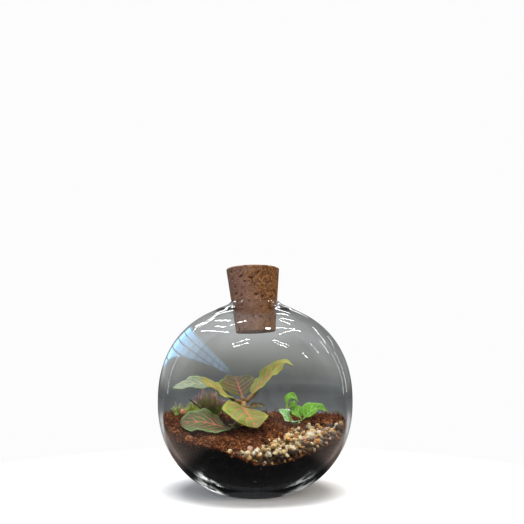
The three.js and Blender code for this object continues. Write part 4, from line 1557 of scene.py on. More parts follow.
@dataclass(frozen=True)
class Leaf:
    """A leaf with its stalk: a waved blade round a smooth midrib."""

    node: str
    slot: Slot
    finish: LeafFinish
    midrib: Line
    # The directions out of the face, at the foot and at the tip
    face: Line
    half_width: float
    stalk: float = 0.22
    # How steeply the left and the right half are folded up
    folds: tuple[float, float] = (0.15, 0.15)
    wave: float = 1.2
    waves: float = 3.0
    curl: float = 0.0
    droop_right: float = 0.0
    fullness: float = 0.72
    balance: float = 0.8
    warp: float = 0.7
    pucker: float = 0.5
    ruffle: float = 0.35
    scallop: float = 0.05
    thickness: float = 0.5
    stalk_radius: float = 1.4
    stalk_finish: ShootFinish = STALK
    rows: int = 56
    columns: int = 28

    def outline(self, along: float) -> float:
        """Half the blade's width, as a share of its widest, along the blade."""
        return max(0.0, math.sin(math.pi * along**self.balance)) ** self.fullness

    def _frame(self, line: SmoothLine, along: float) -> tuple[Vector, Vector, Vector]:
        """A place on the midrib and how the blade lies there.

        Args:
            line: The midrib.
            along: The share of its length.

        Returns:
            The place, and the directions to the right and out of the face.
        """
        forward = line.tangent(along)
        up = Vector(self.face[0]).lerp(Vector(self.face[-1]), along)
        right = forward.cross(up).normalized()
        return line.point(along), right, right.cross(forward).normalized()

    def _relief(self, blade: float, side: float) -> float:
        """How the blade bulges between its veins and ruffles at its margin.

        Args:
            blade: The share of the blade's length.
            side: How far to the side, from -1 to 1.

        Returns:
            The height in millimetres.
        """
        away = abs(side)
        order = self.finish.count * (blade - self.finish.sweep * away**1.25)
        bulge = abs(order - round(order)) * 2
        between = self.pucker * bulge**0.8 * min(1.0, away * 5) * (1 - away**3)
        edge = self.ruffle * away**5 * math.sin(41 * blade + 3 * side)
        return (between + edge) * math.sin(math.pi * min(1.0, blade * 1.02 + 0.01))

    def _rise(self, blade: float, side: float, width: float) -> float:
        """How far the blade stands off a plain sheet through its midrib.

        Args:
            blade: The share of the blade's length.
            side: How far to the side, from -1 to 1.
            width: The blade's half width there.

        Returns:
            The height in millimetres.
        """
        swell = math.sin(math.pi * blade)
        turn = 2 * math.pi * self.waves * blade + (0 if side < 0 else 1.7)
        rise = abs(side) * width * self.folds[side >= 0] - self.curl * side**2 * swell
        rise += self.wave * side**2 * swell * math.sin(turn) + self._relief(blade, side)
        return rise - self.droop_right * max(0.0, side) ** 2 * swell

    def blade(self, bm: BMesh, line: SmoothLine) -> None:
        """Adds the blade: a grid laid along the midrib and given its thickness.

        Args:
            bm: The mesh that gets it.
            line: The midrib.
        """
        layer = bm.loops.layers.uv.get("blade") or bm.loops.layers.uv.new("blade")
        made = bmesh.ops.create_grid(
            bm, x_segments=self.columns, y_segments=self.rows, size=1, calc_uvs=False,
        )["verts"]
        faces = list({face for vert in made for face in vert.link_faces})
        for face in faces:
            for loop in face.loops:
                loop[layer].uv = (loop.vert.co.x / 2 + 0.5, loop.vert.co.y / 2 + 0.5)
        frames: dict[float, tuple[Vector, Vector, Vector]] = {}
        for vert in made:
            side, blade = vert.co.x, round(vert.co.y / 2 + 0.5, 6)
            if blade not in frames:
                frames[blade] = self._frame(line, self.stalk + (1 - self.stalk) * blade)
            centre, right, normal = frames[blade]
            scallop = 1 + self.scallop * math.sin(4 * math.pi * self.waves * blade)
            narrowest = 0.8 * (1 - 0.5 * blade)
            width = max(narrowest, self.half_width * self.outline(blade) * scallop)
            vert.co = centre + right * side * width + normal * self._rise(blade, side, width)
            vert.co += normal * self.warp * abs(side) * noise.noise(vert.co / 7)
        bmesh.ops.recalc_face_normals(bm, faces=faces)
        bmesh.ops.solidify(bm, geom=faces, thickness=self.thickness)

    def _stalk_radius(self, along: float) -> float:
        """The stalk's radius, which shrinks along the blade."""
        return self.stalk_radius * (1 - 0.8 * ease(self.stalk - 0.02, self.stalk + 0.22, along))

    def stalks(self, bm: BMesh, line: SmoothLine) -> None:
        """Adds the stalk, which runs on as the raised midrib under the blade.

        Args:
            bm: The mesh that gets it.
            line: The midrib.
        """
        shares = [0.9 * i / 17 for i in range(18)]
        points = []
        for along in shares:
            centre, _, normal = self._frame(line, along)
            below = self._stalk_radius(along) * ease(self.stalk - 0.08, self.stalk + 0.04, along)
            points.append(centre - normal * below)
        radii = [self._stalk_radius(along) for along in shares]
        for tube_face in sweep(bm, SmoothLine(points), radii, sides=8, steps=26):
            tube_face.material_index = 1

    def add_to(self, bm: BMesh) -> None:
        """Adds the blade and its stalk to a mesh in millimetres.

        Args:
            bm: The mesh.
        """
        line = SmoothLine(self.midrib)
        self.blade(bm, line)
        self.stalks(bm, line)

    def build(self) -> None:
        """Shows the leaf in place of its CAD node."""
        bm = bmesh.new()
        self.add_to(bm)
        name = self.node.replace("leaf", "leaf_blade")
        show(name, bm, [self.finish, self.stalk_finish], self.node)


LIGHT_NERVE = dict(
    base=tone(128, 158, 60), shade=tone(84, 118, 40), vein=tone(216, 106, 90), margin=tone(168, 176, 70),
    net_weight=0.3,
)
FRONT_NERVE = LIGHT_NERVE | dict(base=tone(106, 136, 48), shade=tone(70, 100, 32), vein=tone(200, 92, 80))
DARK_NERVE = dict(
    base=tone(50, 86, 38), shade=tone(24, 54, 28), vein=tone(202, 100, 88), margin=tone(120, 156, 96),
    net_weight=0.14, width=0.1, margin_weight=0.6,
)
BACK_NERVE = dict(
    base=tone(68, 82, 32), shade=tone(44, 60, 24), vein=tone(206, 98, 92), margin=tone(120, 132, 58),
    net_weight=0.12, width=0.07, midrib=0.04,
)
PALE_NERVE = dict(
    base=tone(108, 130, 106), shade=tone(88, 112, 84), vein=tone(168, 150, 128), margin=tone(140, 156, 84),
    glow=0.2,
)
FRESH = dict(
    base=tone(124, 176, 58), shade=tone(78, 134, 38), vein=tone(172, 208, 112), margin=tone(134, 184, 70),
    net_weight=0.15, vein_weight=0.6, roughness=0.18,
)
VARIEGATED = dict(
    base=tone(120, 180, 96), shade=tone(88, 156, 66), vein=tone(206, 224, 190), margin=tone(228, 236, 214),
    net_weight=0.3, vein_weight=0.6, margin_weight=0.95, roughness=0.36,
)


def nerve_leaves() -> list[Leaf]:
    """Lists the nerve plant's leaves.

    Returns:
        Its seven leaves.
    """
    return [
        Leaf(
            "fittonia_leaf_upper_right", Slot.NERVE_LIGHT,
            LeafFinish("nerve leaf upper right", **LIGHT_NERVE, half_width=11.5, length=58, count=8),
            [[-8, -11.6, 84.6], [0, -8, 95], [13.5, -3, 109], [26, 2, 120.5], [36.5, 5, 118]],
            [[-0.62, -0.34, 0.68], [-0.1, -0.34, 0.94]],
            11.2, stalk=0.14, folds=(0.3, 0.2), wave=1.3, waves=2.5, ruffle=0.6, stalk_radius=2.1,
        ),
        Leaf(
            "fittonia_leaf_left", Slot.NERVE_LIGHT,
            LeafFinish("nerve leaf left", **LIGHT_NERVE, half_width=12.5, length=45, count=7),
            [[-13, -13.4, 84.2], [-21, -16, 88.5], [-31, -19, 94], [-41, -22, 101.5], [-49, -24, 106]],
            [[0.35, -0.1, 0.9], [0.45, -0.38, 0.8]],
            12.5, stalk=0.1, folds=(0.16, 0.03), wave=1.5, waves=2, stalk_radius=2.1, balance=1.15,
        ),
        Leaf(
            "fittonia_leaf_back", Slot.NERVE_DARK,
            LeafFinish("nerve leaf back", **BACK_NERVE, half_width=18, length=44, count=6),
            [[-10.7, -9.9, 85.2], [-13, -3, 92], [-16, 9, 99.5], [-18.5, 20, 105], [-20, 31, 108]],
            [[0, -0.75, 0.66], [0, -0.4, 0.9]],
            18, stalk=0.14, folds=(0.22, 0.22), wave=1.4, waves=2.5, stalk_radius=2.1,
        ),
        Leaf(
            "fittonia_leaf_front", Slot.NERVE_LIGHT,
            LeafFinish("nerve leaf front", **FRONT_NERVE, half_width=21, length=40, count=6),
            [[-11, -15, 80.5], [-10.5, -22, 80], [-8.5, -33, 77], [-3.5, -43, 71], [1.5, -50, 64]],
            [[0.12, -0.1, 1], [0.12, -0.8, 0.6]],
            21, stalk=0.1, folds=(-0.1, 0.6), wave=1.6, waves=1.5, curl=1.5, droop_right=6.5,
            stalk_radius=1.9,
        ),
        Leaf(
            "fittonia_leaf_low", Slot.NERVE_DARK,
            LeafFinish(
                "nerve leaf low", **DARK_NERVE, half_width=17.5, length=40, count=6, sweep=0.5, midrib=0.04,
            ),
            [[-14.5, -15.8, 67], [-24, -32, 62.6], [-35, -37, 66.0], [-48, -40, 68.6], [-64, -42, 67.5]],
            [[-0.1, -0.45, 0.9], [-0.1, -0.52, 0.85]],
            17.5, stalk=0.27, folds=(0.16, 0.1), wave=1.3, waves=2, fullness=0.5, balance=1.35,
        ),
        Leaf(
            "fittonia_leaf_pale", Slot.PALE,
            LeafFinish("pale leaf", **PALE_NERVE, half_width=9.5, length=38, count=6),
            [[-12.7, -10.5, 80.5], [-24, 1, 89], [-38, 3, 99], [-58, 0, 101.5], [-77, -5, 97]],
            [[0, -0.6, 0.8], [0, -0.55, 0.85]],
            9.5, stalk=0.45, folds=(0.12, 0.12), wave=1, waves=2,
        ),
        Leaf(
            "fittonia_leaf_small", Slot.NERVE_DARK,
            LeafFinish("nerve leaf small", **DARK_NERVE, half_width=5.2, length=14, count=4, net_size=1.6),
            [[-8.6, -12.6, 79], [-3, -11.5, 80.5], [3, -10, 81.5], [9, -8, 80]],
            [[0, -0.45, 0.9], [0, -0.35, 0.9]],
            5.2, stalk=0.2, folds=(0.2, 0.2), wave=0.5, waves=1.5, pucker=0.25,
        ),
    ]


def seedling_leaves() -> list[Leaf]:
    """Lists the seedling's leaves.

    Returns:
        Its five leaves.
    """
    shared = dict(
        stalk_finish=SEEDLING_STALK, stalk_radius=0.7, pucker=0.25, ruffle=0.2, rows=40, columns=20,
        fullness=1.0,
    )
    return [
        Leaf(
            "seedling_leaf_top", Slot.SEEDLING,
            LeafFinish("seedling leaf top", **FRESH, half_width=5, length=16, count=6, net_size=1.5),
            [[30.0, -2, 80.5], [29.8, -1.8, 85.4], [32.6, -1, 88.8], [36.8, -0.5, 88.0], [40.4, 0, 84.2]],
            [[-0.7, -0.6, 0.4], [0.5, -0.6, 0.65]],
            3.9, stalk=0.1, folds=(0.4, 0.6), wave=0.6, waves=2, **shared,
        ),
        Leaf(
            "seedling_leaf_bent", Slot.SEEDLING,
            LeafFinish("seedling leaf bent", **FRESH, half_width=3, length=9, count=5, net_size=1.2),
            [[31.2, -3.4, 78.5], [33.6, -5, 81.6], [35.8, -6, 82.8], [37.6, -6.5, 80]],
            [[-0.2, -0.9, 0.5], [0.4, -0.8, 0.4]],
            2.4, stalk=0.15, folds=(0.3, 0.2), wave=0.4, waves=1.5, **shared,
        ),
        Leaf(
            "seedling_leaf_right", Slot.SEEDLING,
            LeafFinish("seedling leaf right", **FRESH, half_width=8, length=26, count=6, net_size=1.8),
            [[44.3, -4.6, 67.4], [47, -4, 70.8], [53, -3, 76], [60.5, -2.5, 78.2], [67, -3, 75]],
            [[-0.45, -0.6, 0.6], [0.1, -0.6, 0.8]],
            7.6, stalk=0.1, folds=(0.62, 0.5), wave=0.5, waves=1.5, balance=0.5, **shared,
        ),
        Leaf(
            "seedling_leaf_middle", Slot.SEEDLING,
            LeafFinish("seedling leaf middle", **FRESH, half_width=7, length=15, count=5, net_size=1.8),
            [[42.8, -3.2, 67.9], [40.4, -1.5, 71.6], [37, 0.5, 76], [33.2, 2.5, 79]],
            [[0.55, -0.75, 0.4], [0.5, -0.7, 0.5]],
            7.5, stalk=0.12, folds=(0.3, 0.45), wave=0.8, waves=1.5, balance=0.7, **shared,
        ),
        Leaf(
            "seedling_leaf_variegated", Slot.VARIEGATED,
            LeafFinish("variegated leaf", **VARIEGATED, half_width=6.5, length=15, count=5, net_size=1.8),
            [[32.4, -5.2, 66.5], [29.5, -8, 70], [26, -9, 74], [22, -9.5, 77.5]],
            [[0.6, -0.7, 0.4], [0.6, -0.6, 0.5]],
            7, stalk=0.1, folds=(0.35, 0.25), wave=0.9, waves=2, **shared,
        ),
    ]


@dataclass(frozen=True)
class Rosette:
    """Small leaves that spring from a short root of their own."""

    node: str
    name: str
    slot: Slot
    finish: LeafFinish
    stalk: ShootFinish
    root: tuple[float, float]
    depth: float
    # Radii of the root, how far it comes up, where the leaves start, and how far round an arc they bend
    foot: tuple[float, float, float]
    height: float
    start: float
    bend: float
    # Turn, length, rise and half width of each leaf
    leaves: tuple[tuple[float, float, float, float], ...]

    def build(self) -> None:
        """Shows the leaves in place of their CAD node."""
        bm = bmesh.new()
        x, y = self.root
        level = level_of(self.node, self.depth)
        foot = SmoothLine([[x, y, level - self.depth], [x, y, level], [x, y, level + self.height]])
        for face in sweep(bm, foot, self.foot, sides=8, steps=6):
            face.material_index = 1
        for turn, length, rise, half_width in self.leaves:
            cos, sin = math.cos(turn), math.sin(turn)
            midrib = [
                (x + cos * length * share, y + sin * length * share,
                 level + self.start + rise * math.sin(share * self.bend))
                for share in (0, 0.5, 1)
            ]
            looks = (self.slot, self.finish, midrib, [(-cos, -sin, 1), (0, 0, 1)], half_width)
            Leaf("", *looks, stalk_finish=self.stalk, **SMALL).add_to(bm)
        show(self.name, bm, [self.finish, self.stalk], self.node)


@dataclass(frozen=True)
class NervePlant:
    """The pink-veined plant: its short stem, its leaves and the young shoots beside it."""

    root: tuple[float, float] = (-13, -14)
    crown: float = 85.0
    shoots: Rosette = Rosette(
        "fittonia_sprouts", "fittonia_young_shoots", Slot.NERVE_LIGHT,
        LeafFinish(
            "young nerve leaf", base=tone(150, 176, 84), shade=tone(96, 132, 56), vein=tone(206, 140, 104),
            half_width=2.4, length=6, count=4, net_size=1.2, net_weight=0.2,
        ),
        STALK, root=(-17, -33), depth=4, foot=(1.4, 1.2, 0.7), height=2.2, start=1, bend=1.9,
        leaves=((2.6, 7, 5.5, 2.4), (0.4, 6, 6.5, 2.2), (4.3, 7.5, 4, 2.5), (5.6, 5, 7.5, 1.8)),
    )

    def _stem(self) -> None:
        """The stem from its hole in the coir up to the crown."""
        bm = bmesh.new()
        x, y = self.root
        foot = level_of("fittonia_stem", 0)
        line = SmoothLine([[x, y, foot], [x, y, foot + 8], [-12, -13, 75], [-10.5, -12, self.crown]])
        sweep(bm, line, (2.2, 2.2, 2.0, 2.0, 2.35, 2.0, 2.1, 2.9, 3.0, 2.4), sides=14, steps=40)
        mark(bm, "rise", lambda vert: (vert.co.z - foot) / (self.crown - foot))
        show("fittonia_stalk_crown", bm, [STALK], "fittonia_stem")

    def build(self) -> None:
        """Builds the whole plant."""
        self._stem()
        self.shoots.build()
        for leaf in nerve_leaves():
            leaf.build()


@dataclass(frozen=True)
class Seedling:
    """The fresh green seedling at the right, with small pale leaflets before it."""

    root: tuple[float, float] = (35, -3)
    leaflets: Rosette = Rosette(
        "seedling_leaflets", "seedling_pale_leaflets", Slot.VARIEGATED,
        LeafFinish("pale leaflet", **VARIEGATED, half_width=2.1, length=5, count=4, net_size=1.2),
        SEEDLING_STALK, root=(36.5, -13), depth=3.5, foot=(1.0, 0.9, 0.5), height=2, start=0.9, bend=1.8,
        leaves=tuple((0.5 + i * math.pi / 2, 5, 4 + i * 0.5, 2.1) for i in range(4)),
    )

    def _stem(self) -> None:
        """The upright stem and its side stalk."""
        bm = bmesh.new()
        x, y = self.root
        foot = level_of("seedling_stem", 0)
        main = SmoothLine([[x, y, foot], [x, y, foot + 6], [31.5, -2.5, 71], [29.5, -2, 78], [30.5, -2, 85]])
        sweep(bm, main, (1.6, 1.6, 1.3, 1.15, 0.9), sides=12, steps=40)
        side = SmoothLine([[x, y, foot + 5.6], [39.5, -3.6, 65.4], [43.5, -4.4, 66.8]])
        sweep(bm, side, (0.9, 0.8, 0.7), sides=10, steps=16)
        show("seedling_stalk", bm, [SEEDLING_STALK], "seedling_stem")

    def build(self) -> None:
        """Builds the seedling."""
        self._stem()
        self.leaflets.build()
        for leaf in seedling_leaves():
            leaf.build()


@dataclass(frozen=True)
class Tuft:
    """Shoots that stand out of a slim mound and lean outward the further out they grow."""

    node: str
    name: str
    slot: Slot
    finish: ShootFinish
    x: float
    y: float
    radius: float
    rise: float
    depth: float
    count: int
    least: float
    most: float
    lean: float
    seed: int
    shapes: Callable[[random.Random], list[Shape]]
    lift: float = 2.4
    # How far out the outermost shoots stand, as a share of the mound's radius, and how much shorter they are
    spread: float = 0.62
    shorter: float = 0.25
    # How far shoots stray from their way out and from upright
    stray: Point = (0.06, 0.1, 0.1)

    def _mound(self, level: float) -> Shape:
        """The mound and its root.

        Args:
            level: The ground's height here.

        Returns:
            Both as one shape.
        """
        bm = bmesh.new()
        bmesh.ops.create_icosphere(bm, subdivisions=4, radius=1)
        for vert in bm.verts:
            vert.co *= 1 - 0.16 * abs(noise.noise(vert.co * 4 + Vector((self.seed, 0, 0))))
        bmesh.ops.scale(bm, vec=(self.radius, self.radius, self.rise), verts=bm.verts[:])
        bmesh.ops.translate(bm, vec=(self.x, self.y, level + self.lift), verts=bm.verts[:])
        heights = (level - self.depth, level, level + self.lift)
        root = SmoothLine([(self.x, self.y, height) for height in heights])
        sweep(bm, root, (self.radius * 0.5,), sides=10, steps=4)
        shape = Shape.of(bm)
        return Shape(shape.corners, shape.faces, shape.rise * 0.25)

    def build(self) -> None:
        """Plants the shoots and shows the tuft."""
        source = random.Random(self.seed)
        level = level_of(self.node, self.depth)
        copies = Copies()
        copies.add(self._mound(level), Matrix.Identity(4), 0.1)
        shapes = self.shapes(source)
        golden = math.pi * (3 - math.sqrt(5))
        for i in range(self.count):
            share = math.sqrt((i + 0.5) / self.count)
            out = Vector((math.cos(i * golden), math.sin(i * golden), 0))
            root = Vector((self.x, self.y, level + self.lift + self.rise * (0.75 - 0.75 * share)))
            root += out * self.radius * self.spread * share
            outward, x, y = (source.uniform(-most, most) for most in self.stray)
            way = out * (self.lean * share + outward) + Vector((x, y, 1))
            length = source.uniform(self.least, self.most) * (1 - self.shorter * share)
            turn = way.to_track_quat("Z", "Y").to_matrix().to_4x4()
            spin = Matrix.Rotation(source.uniform(0, ANY_TURN), 4, "Z")
            place = Matrix.Translation(root) @ turn @ spin @ Matrix.Diagonal((length, length, length, 1))
            copies.add(source.choice(shapes), place, source.random())
        show(self.name, copies, [self.finish], self.node)


@dataclass(frozen=True)
class Sprigs:
    """Bent stems of height 1 with needles all round."""

    kinds: int
    # How far aside a stem may bend in x and in y, and at what height
    bends: tuple[Point, ...]
    # Radii along a stem, and its rings
    stem: Point
    rings: int
    needles: int
    # Shares of the stem where the needles start and end
    first: float
    last: float
    # How far they reach out at the foot of the stem, and how much less at its tip
    reach: float
    shrink: float
    climb: float
    sag: float
    # Radii along a needle, and the turn from one to the next
    needle: Point
    turn: float = 2.4

    def _needle(self, stem: SmoothLine, number: int) -> SmoothLine:
        """The line of one needle.

        Args:
            stem: The stem that it grows from.
            number: Its number, from the lowest up.

        Returns:
            The line, from the stem out and up.
        """
        share = self.first + (self.last - self.first) * number / (self.needles - 1)
        turn = number * self.turn
        start = stem.point(share)
        reach = self.reach - self.shrink * share
        end = start + Vector((math.cos(turn) * reach, math.sin(turn) * reach, reach * self.climb))
        return SmoothLine([start, (start + end) / 2 - Vector((0, 0, self.sag)), end])

    def __call__(self, source: random.Random) -> list[Shape]:
        """Makes some that are each bent in another way.

        Args:
            source: The seeded random source.

        Returns:
            The sprigs.
        """
        shapes = []
        for _ in range(self.kinds):
            bm = bmesh.new()
            points = [(0, 0, 0)]
            for x, y, height in self.bends:
                points.append((source.uniform(-x, x), source.uniform(-y, y) if y else 0, height))
            stem = SmoothLine(points)
            sweep(bm, stem, self.stem, sides=3, steps=self.rings)
            for number in range(self.needles):
                sweep(bm, self._needle(stem, number), self.needle, sides=3, steps=2)
            shapes.append(Shape.of(bm))
        return shapes


HEATH_SPRIGS = Sprigs(
    5, ((0.05, 0.05, 0.5), (0.14, 0.14, 1)), (0.012, 0.01, 0.004), 5, needles=24, first=0.1, last=0.96,
    reach=0.156, shrink=0.065, climb=1.7, sag=0.012, needle=(0.008, 0.01, 0.002),
)
MOSS_SHOOTS = Sprigs(
    4, ((0.06, 0, 0.5), (0.1, 0, 0.9)), (0.03, 0.03, 0.02), 3, needles=22, first=0.25, last=0.97,
    reach=0.26, shrink=0.12, climb=0.9, sag=-0.03, needle=(0.02, 0.034, 0.004),
)


def grass_blades(source: random.Random) -> list[Shape]:
    """Thin bent blades of height 1.

    Args:
        source: The seeded random source.

    Returns:
        Six blades.
    """
    shapes = []
    for _ in range(6):
        bm = bmesh.new()
        bend = source.uniform(0.05, 0.32)
        line = SmoothLine([(0, 0, 0), (bend * 0.2, 0, 0.4), (bend * 0.6, 0, 0.75), (bend, 0, 1)])
        sweep(bm, line, (0.03, 0.032, 0.022, 0.006), sides=4, steps=6)
        shapes.append(Shape.of(bm))
    return shapes


TUFTS = (
    Tuft(
        "heath_tuft", "heath_sprigs", Slot.NEEDLES,
        ShootFinish(
            "heath", tone(84, 80, 38), tone(150, 172, 72), tone(228, 140, 190), tone(206, 200, 96),
            tip_start=0.62,
        ),
        x=-45, y=21, radius=10.5, rise=6.5, depth=5, count=130, least=13, most=26, lean=0.72, seed=5,
        shapes=HEATH_SPRIGS,
    ),
    Tuft(
        "moss_tuft", "moss_shoots", Slot.MOSS,
        ShootFinish(
            "moss", tone(130, 142, 60), tone(204, 222, 100), tone(234, 242, 150), tone(220, 222, 128),
        ),
        x=-59, y=3, radius=5.6, rise=6, depth=4, count=70, least=8, most=15, lean=0.5, seed=8,
        shapes=MOSS_SHOOTS,
    ),
    Tuft(
        "grass_tuft", "grass_shoots", Slot.GRASS,
        ShootFinish(
            "grass", tone(140, 140, 70), tone(166, 192, 100), tone(216, 222, 150), tone(206, 176, 128),
        ),
        x=-74, y=8, radius=4, rise=2.6, depth=3, count=60, least=6, most=12, lean=0.8, seed=21,
        shapes=grass_blades,
    ),
)


@dataclass(frozen=True)
class Bud:
    """A small bud of overlapping sepals on a short stalk."""

    x: float = -67.0
    y: float = -6.0
    depth: float = 4.0
    rise: float = 6.0
    radius: float = 2.4
    height: float = 6.0
    sepals: int = 5
    finish: LeafFinish = LeafFinish(
        "bud", base=tone(214, 150, 104), shade=tone(186, 112, 84), vein=tone(196, 104, 92),
        margin=tone(230, 184, 150), half_width=1.5, length=6, count=4, net_size=1.0, net_weight=0.15,
    )
    stalk: ShootFinish = ShootFinish(
        "bud stalk", tone(110, 120, 60), tone(150, 130, 70), tone(190, 140, 96), tone(160, 110, 80),
    )

    def build(self) -> None:
        """Shows the bud in place of its CAD node."""
        bm = bmesh.new()
        level = level_of("flower_bud", self.depth)
        base = level + self.rise
        core = bmesh.ops.create_uvsphere(bm, u_segments=16, v_segments=12, radius=1)["verts"]
        bmesh.ops.scale(bm, vec=(self.radius * 0.78, self.radius * 0.78, self.height / 2), verts=core)
        bmesh.ops.translate(bm, vec=(self.x, self.y, base + self.height / 2 - 0.6), verts=core)
        stem = SmoothLine([(self.x, self.y, height) for height in (level - self.depth, level, base + 1)])
        for face in sweep(bm, stem, (0.8, 0.7, 0.8), sides=8, steps=8):
            face.material_index = 1
        sizes = SMALL | dict(stalk=0.08, wave=0.1, pucker=0.1, ruffle=0.08, stalk_radius=0.35)
        for i in range(self.sepals):
            turn = i / self.sepals * 2 * math.pi
            cos, sin = math.cos(turn), math.sin(turn)
            midrib = [
                (self.x + cos * self.radius * share, self.y + sin * self.radius * share,
                 base - 0.3 + self.height * step / 3)
                for step, share in enumerate((0.3, 0.95, 0.98, 0.5))
            ]
            looks = (Slot.BUD, self.finish, midrib, [(cos, sin, 0)] * 2, 1.5)
            Leaf("", *looks, stalk_finish=self.stalk, **sizes).add_to(bm)
        show("bud_sepals", bm, [self.finish, self.stalk], "flower_bud")


@dataclass(frozen=True)
class Litter:
    """The bare twig and the chip of bark."""

    twig_root: tuple[float, float] = (-40, -7)
    twig: BarkFinish = BarkFinish("dark twig", tone(24, 18, 15), tone(66, 50, 40))
    bark: BarkFinish = BarkFinish("bark chip", tone(120, 74, 46), tone(204, 152, 110))

    def _twig(self) -> None:
        """The leaning twig with its side stubs."""
        bm = bmesh.new()
        x, y = self.twig_root
        foot = level_of("bare_twig", 0)
        for points, radii, sides, steps in (
            ([[x, y, foot], [x, y, foot + 6], [-44, -7, 72], [-53, -7.5, 80.5], [-61, -8, 87]],
             (0.75, 0.7, 0.8, 0.58, 0.66, 0.48, 0.55, 0.35), 9, 60),
            ([[-44.5, -7, 72.5], [-46, -8, 75], [-47, -9, 77.5]], (0.5, 0.3), 7, 8),
            ([[-55, -7.6, 82], [-56, -9, 82.1], [-57, -10, 82.5]], (0.45, 0.3), 7, 6),
        ):
            sweep(bm, SmoothLine(points), radii, sides=sides, steps=steps)
        for vert in bm.verts:
            vert.co += Vector((0, 0, 0.12)) * noise.noise(vert.co / 1.2)
        show("twig_bare", bm, [self.twig], "bare_twig")

    def _chip(self) -> None:
        """The chip, rougher than its CAD solid."""
        bm = refined_copy("bark_chip", 0.8)
        for vert in bm.verts:
            vert.co += vert.normal * 0.5 * noise.noise(vert.co / 1.3) - vert.normal * 0.15
        show("bark_piece", bm, [self.bark], "bark_chip")

    def build(self) -> None:
        """Builds both."""
        self._twig()
        self._chip()


# Studio


@dataclass(frozen=True)
class Lamp:
    """An area light that looks at a target. Places and sizes are in metres."""

    name: str
    place: Point
    target: Point
    width: float
    height: float
    watts: float
    colour: tuple[float, float, float] = (1.0, 1.0, 1.0)
    seen: bool = False
    turn: float = 0.0

    def build(self) -> None:
        """Adds the light. It either lights surfaces, or is seen only as a reflection."""
        data = bpy.data.lights.new(self.name, "AREA")
        data.shape = "RECTANGLE"
        data.size, data.size_y = self.width, self.height
        data.energy = self.watts
        data.color = self.colour
        lamp = bpy.data.objects.new(self.name, data)
        lamp.location = self.place
        way = Vector(self.target) - Vector(self.place)
        aim = way.to_track_quat("-Z", "Y").to_matrix() @ Matrix.Rotation(self.turn, 3, "Z")
        lamp.rotation_euler = aim.to_euler()
        lamp.visible_camera = False
        lamp.visible_transmission = False
        lamp.visible_glossy = self.seen
        lamp.visible_diffuse = not self.seen
        bpy.context.scene.collection.objects.link(lamp)


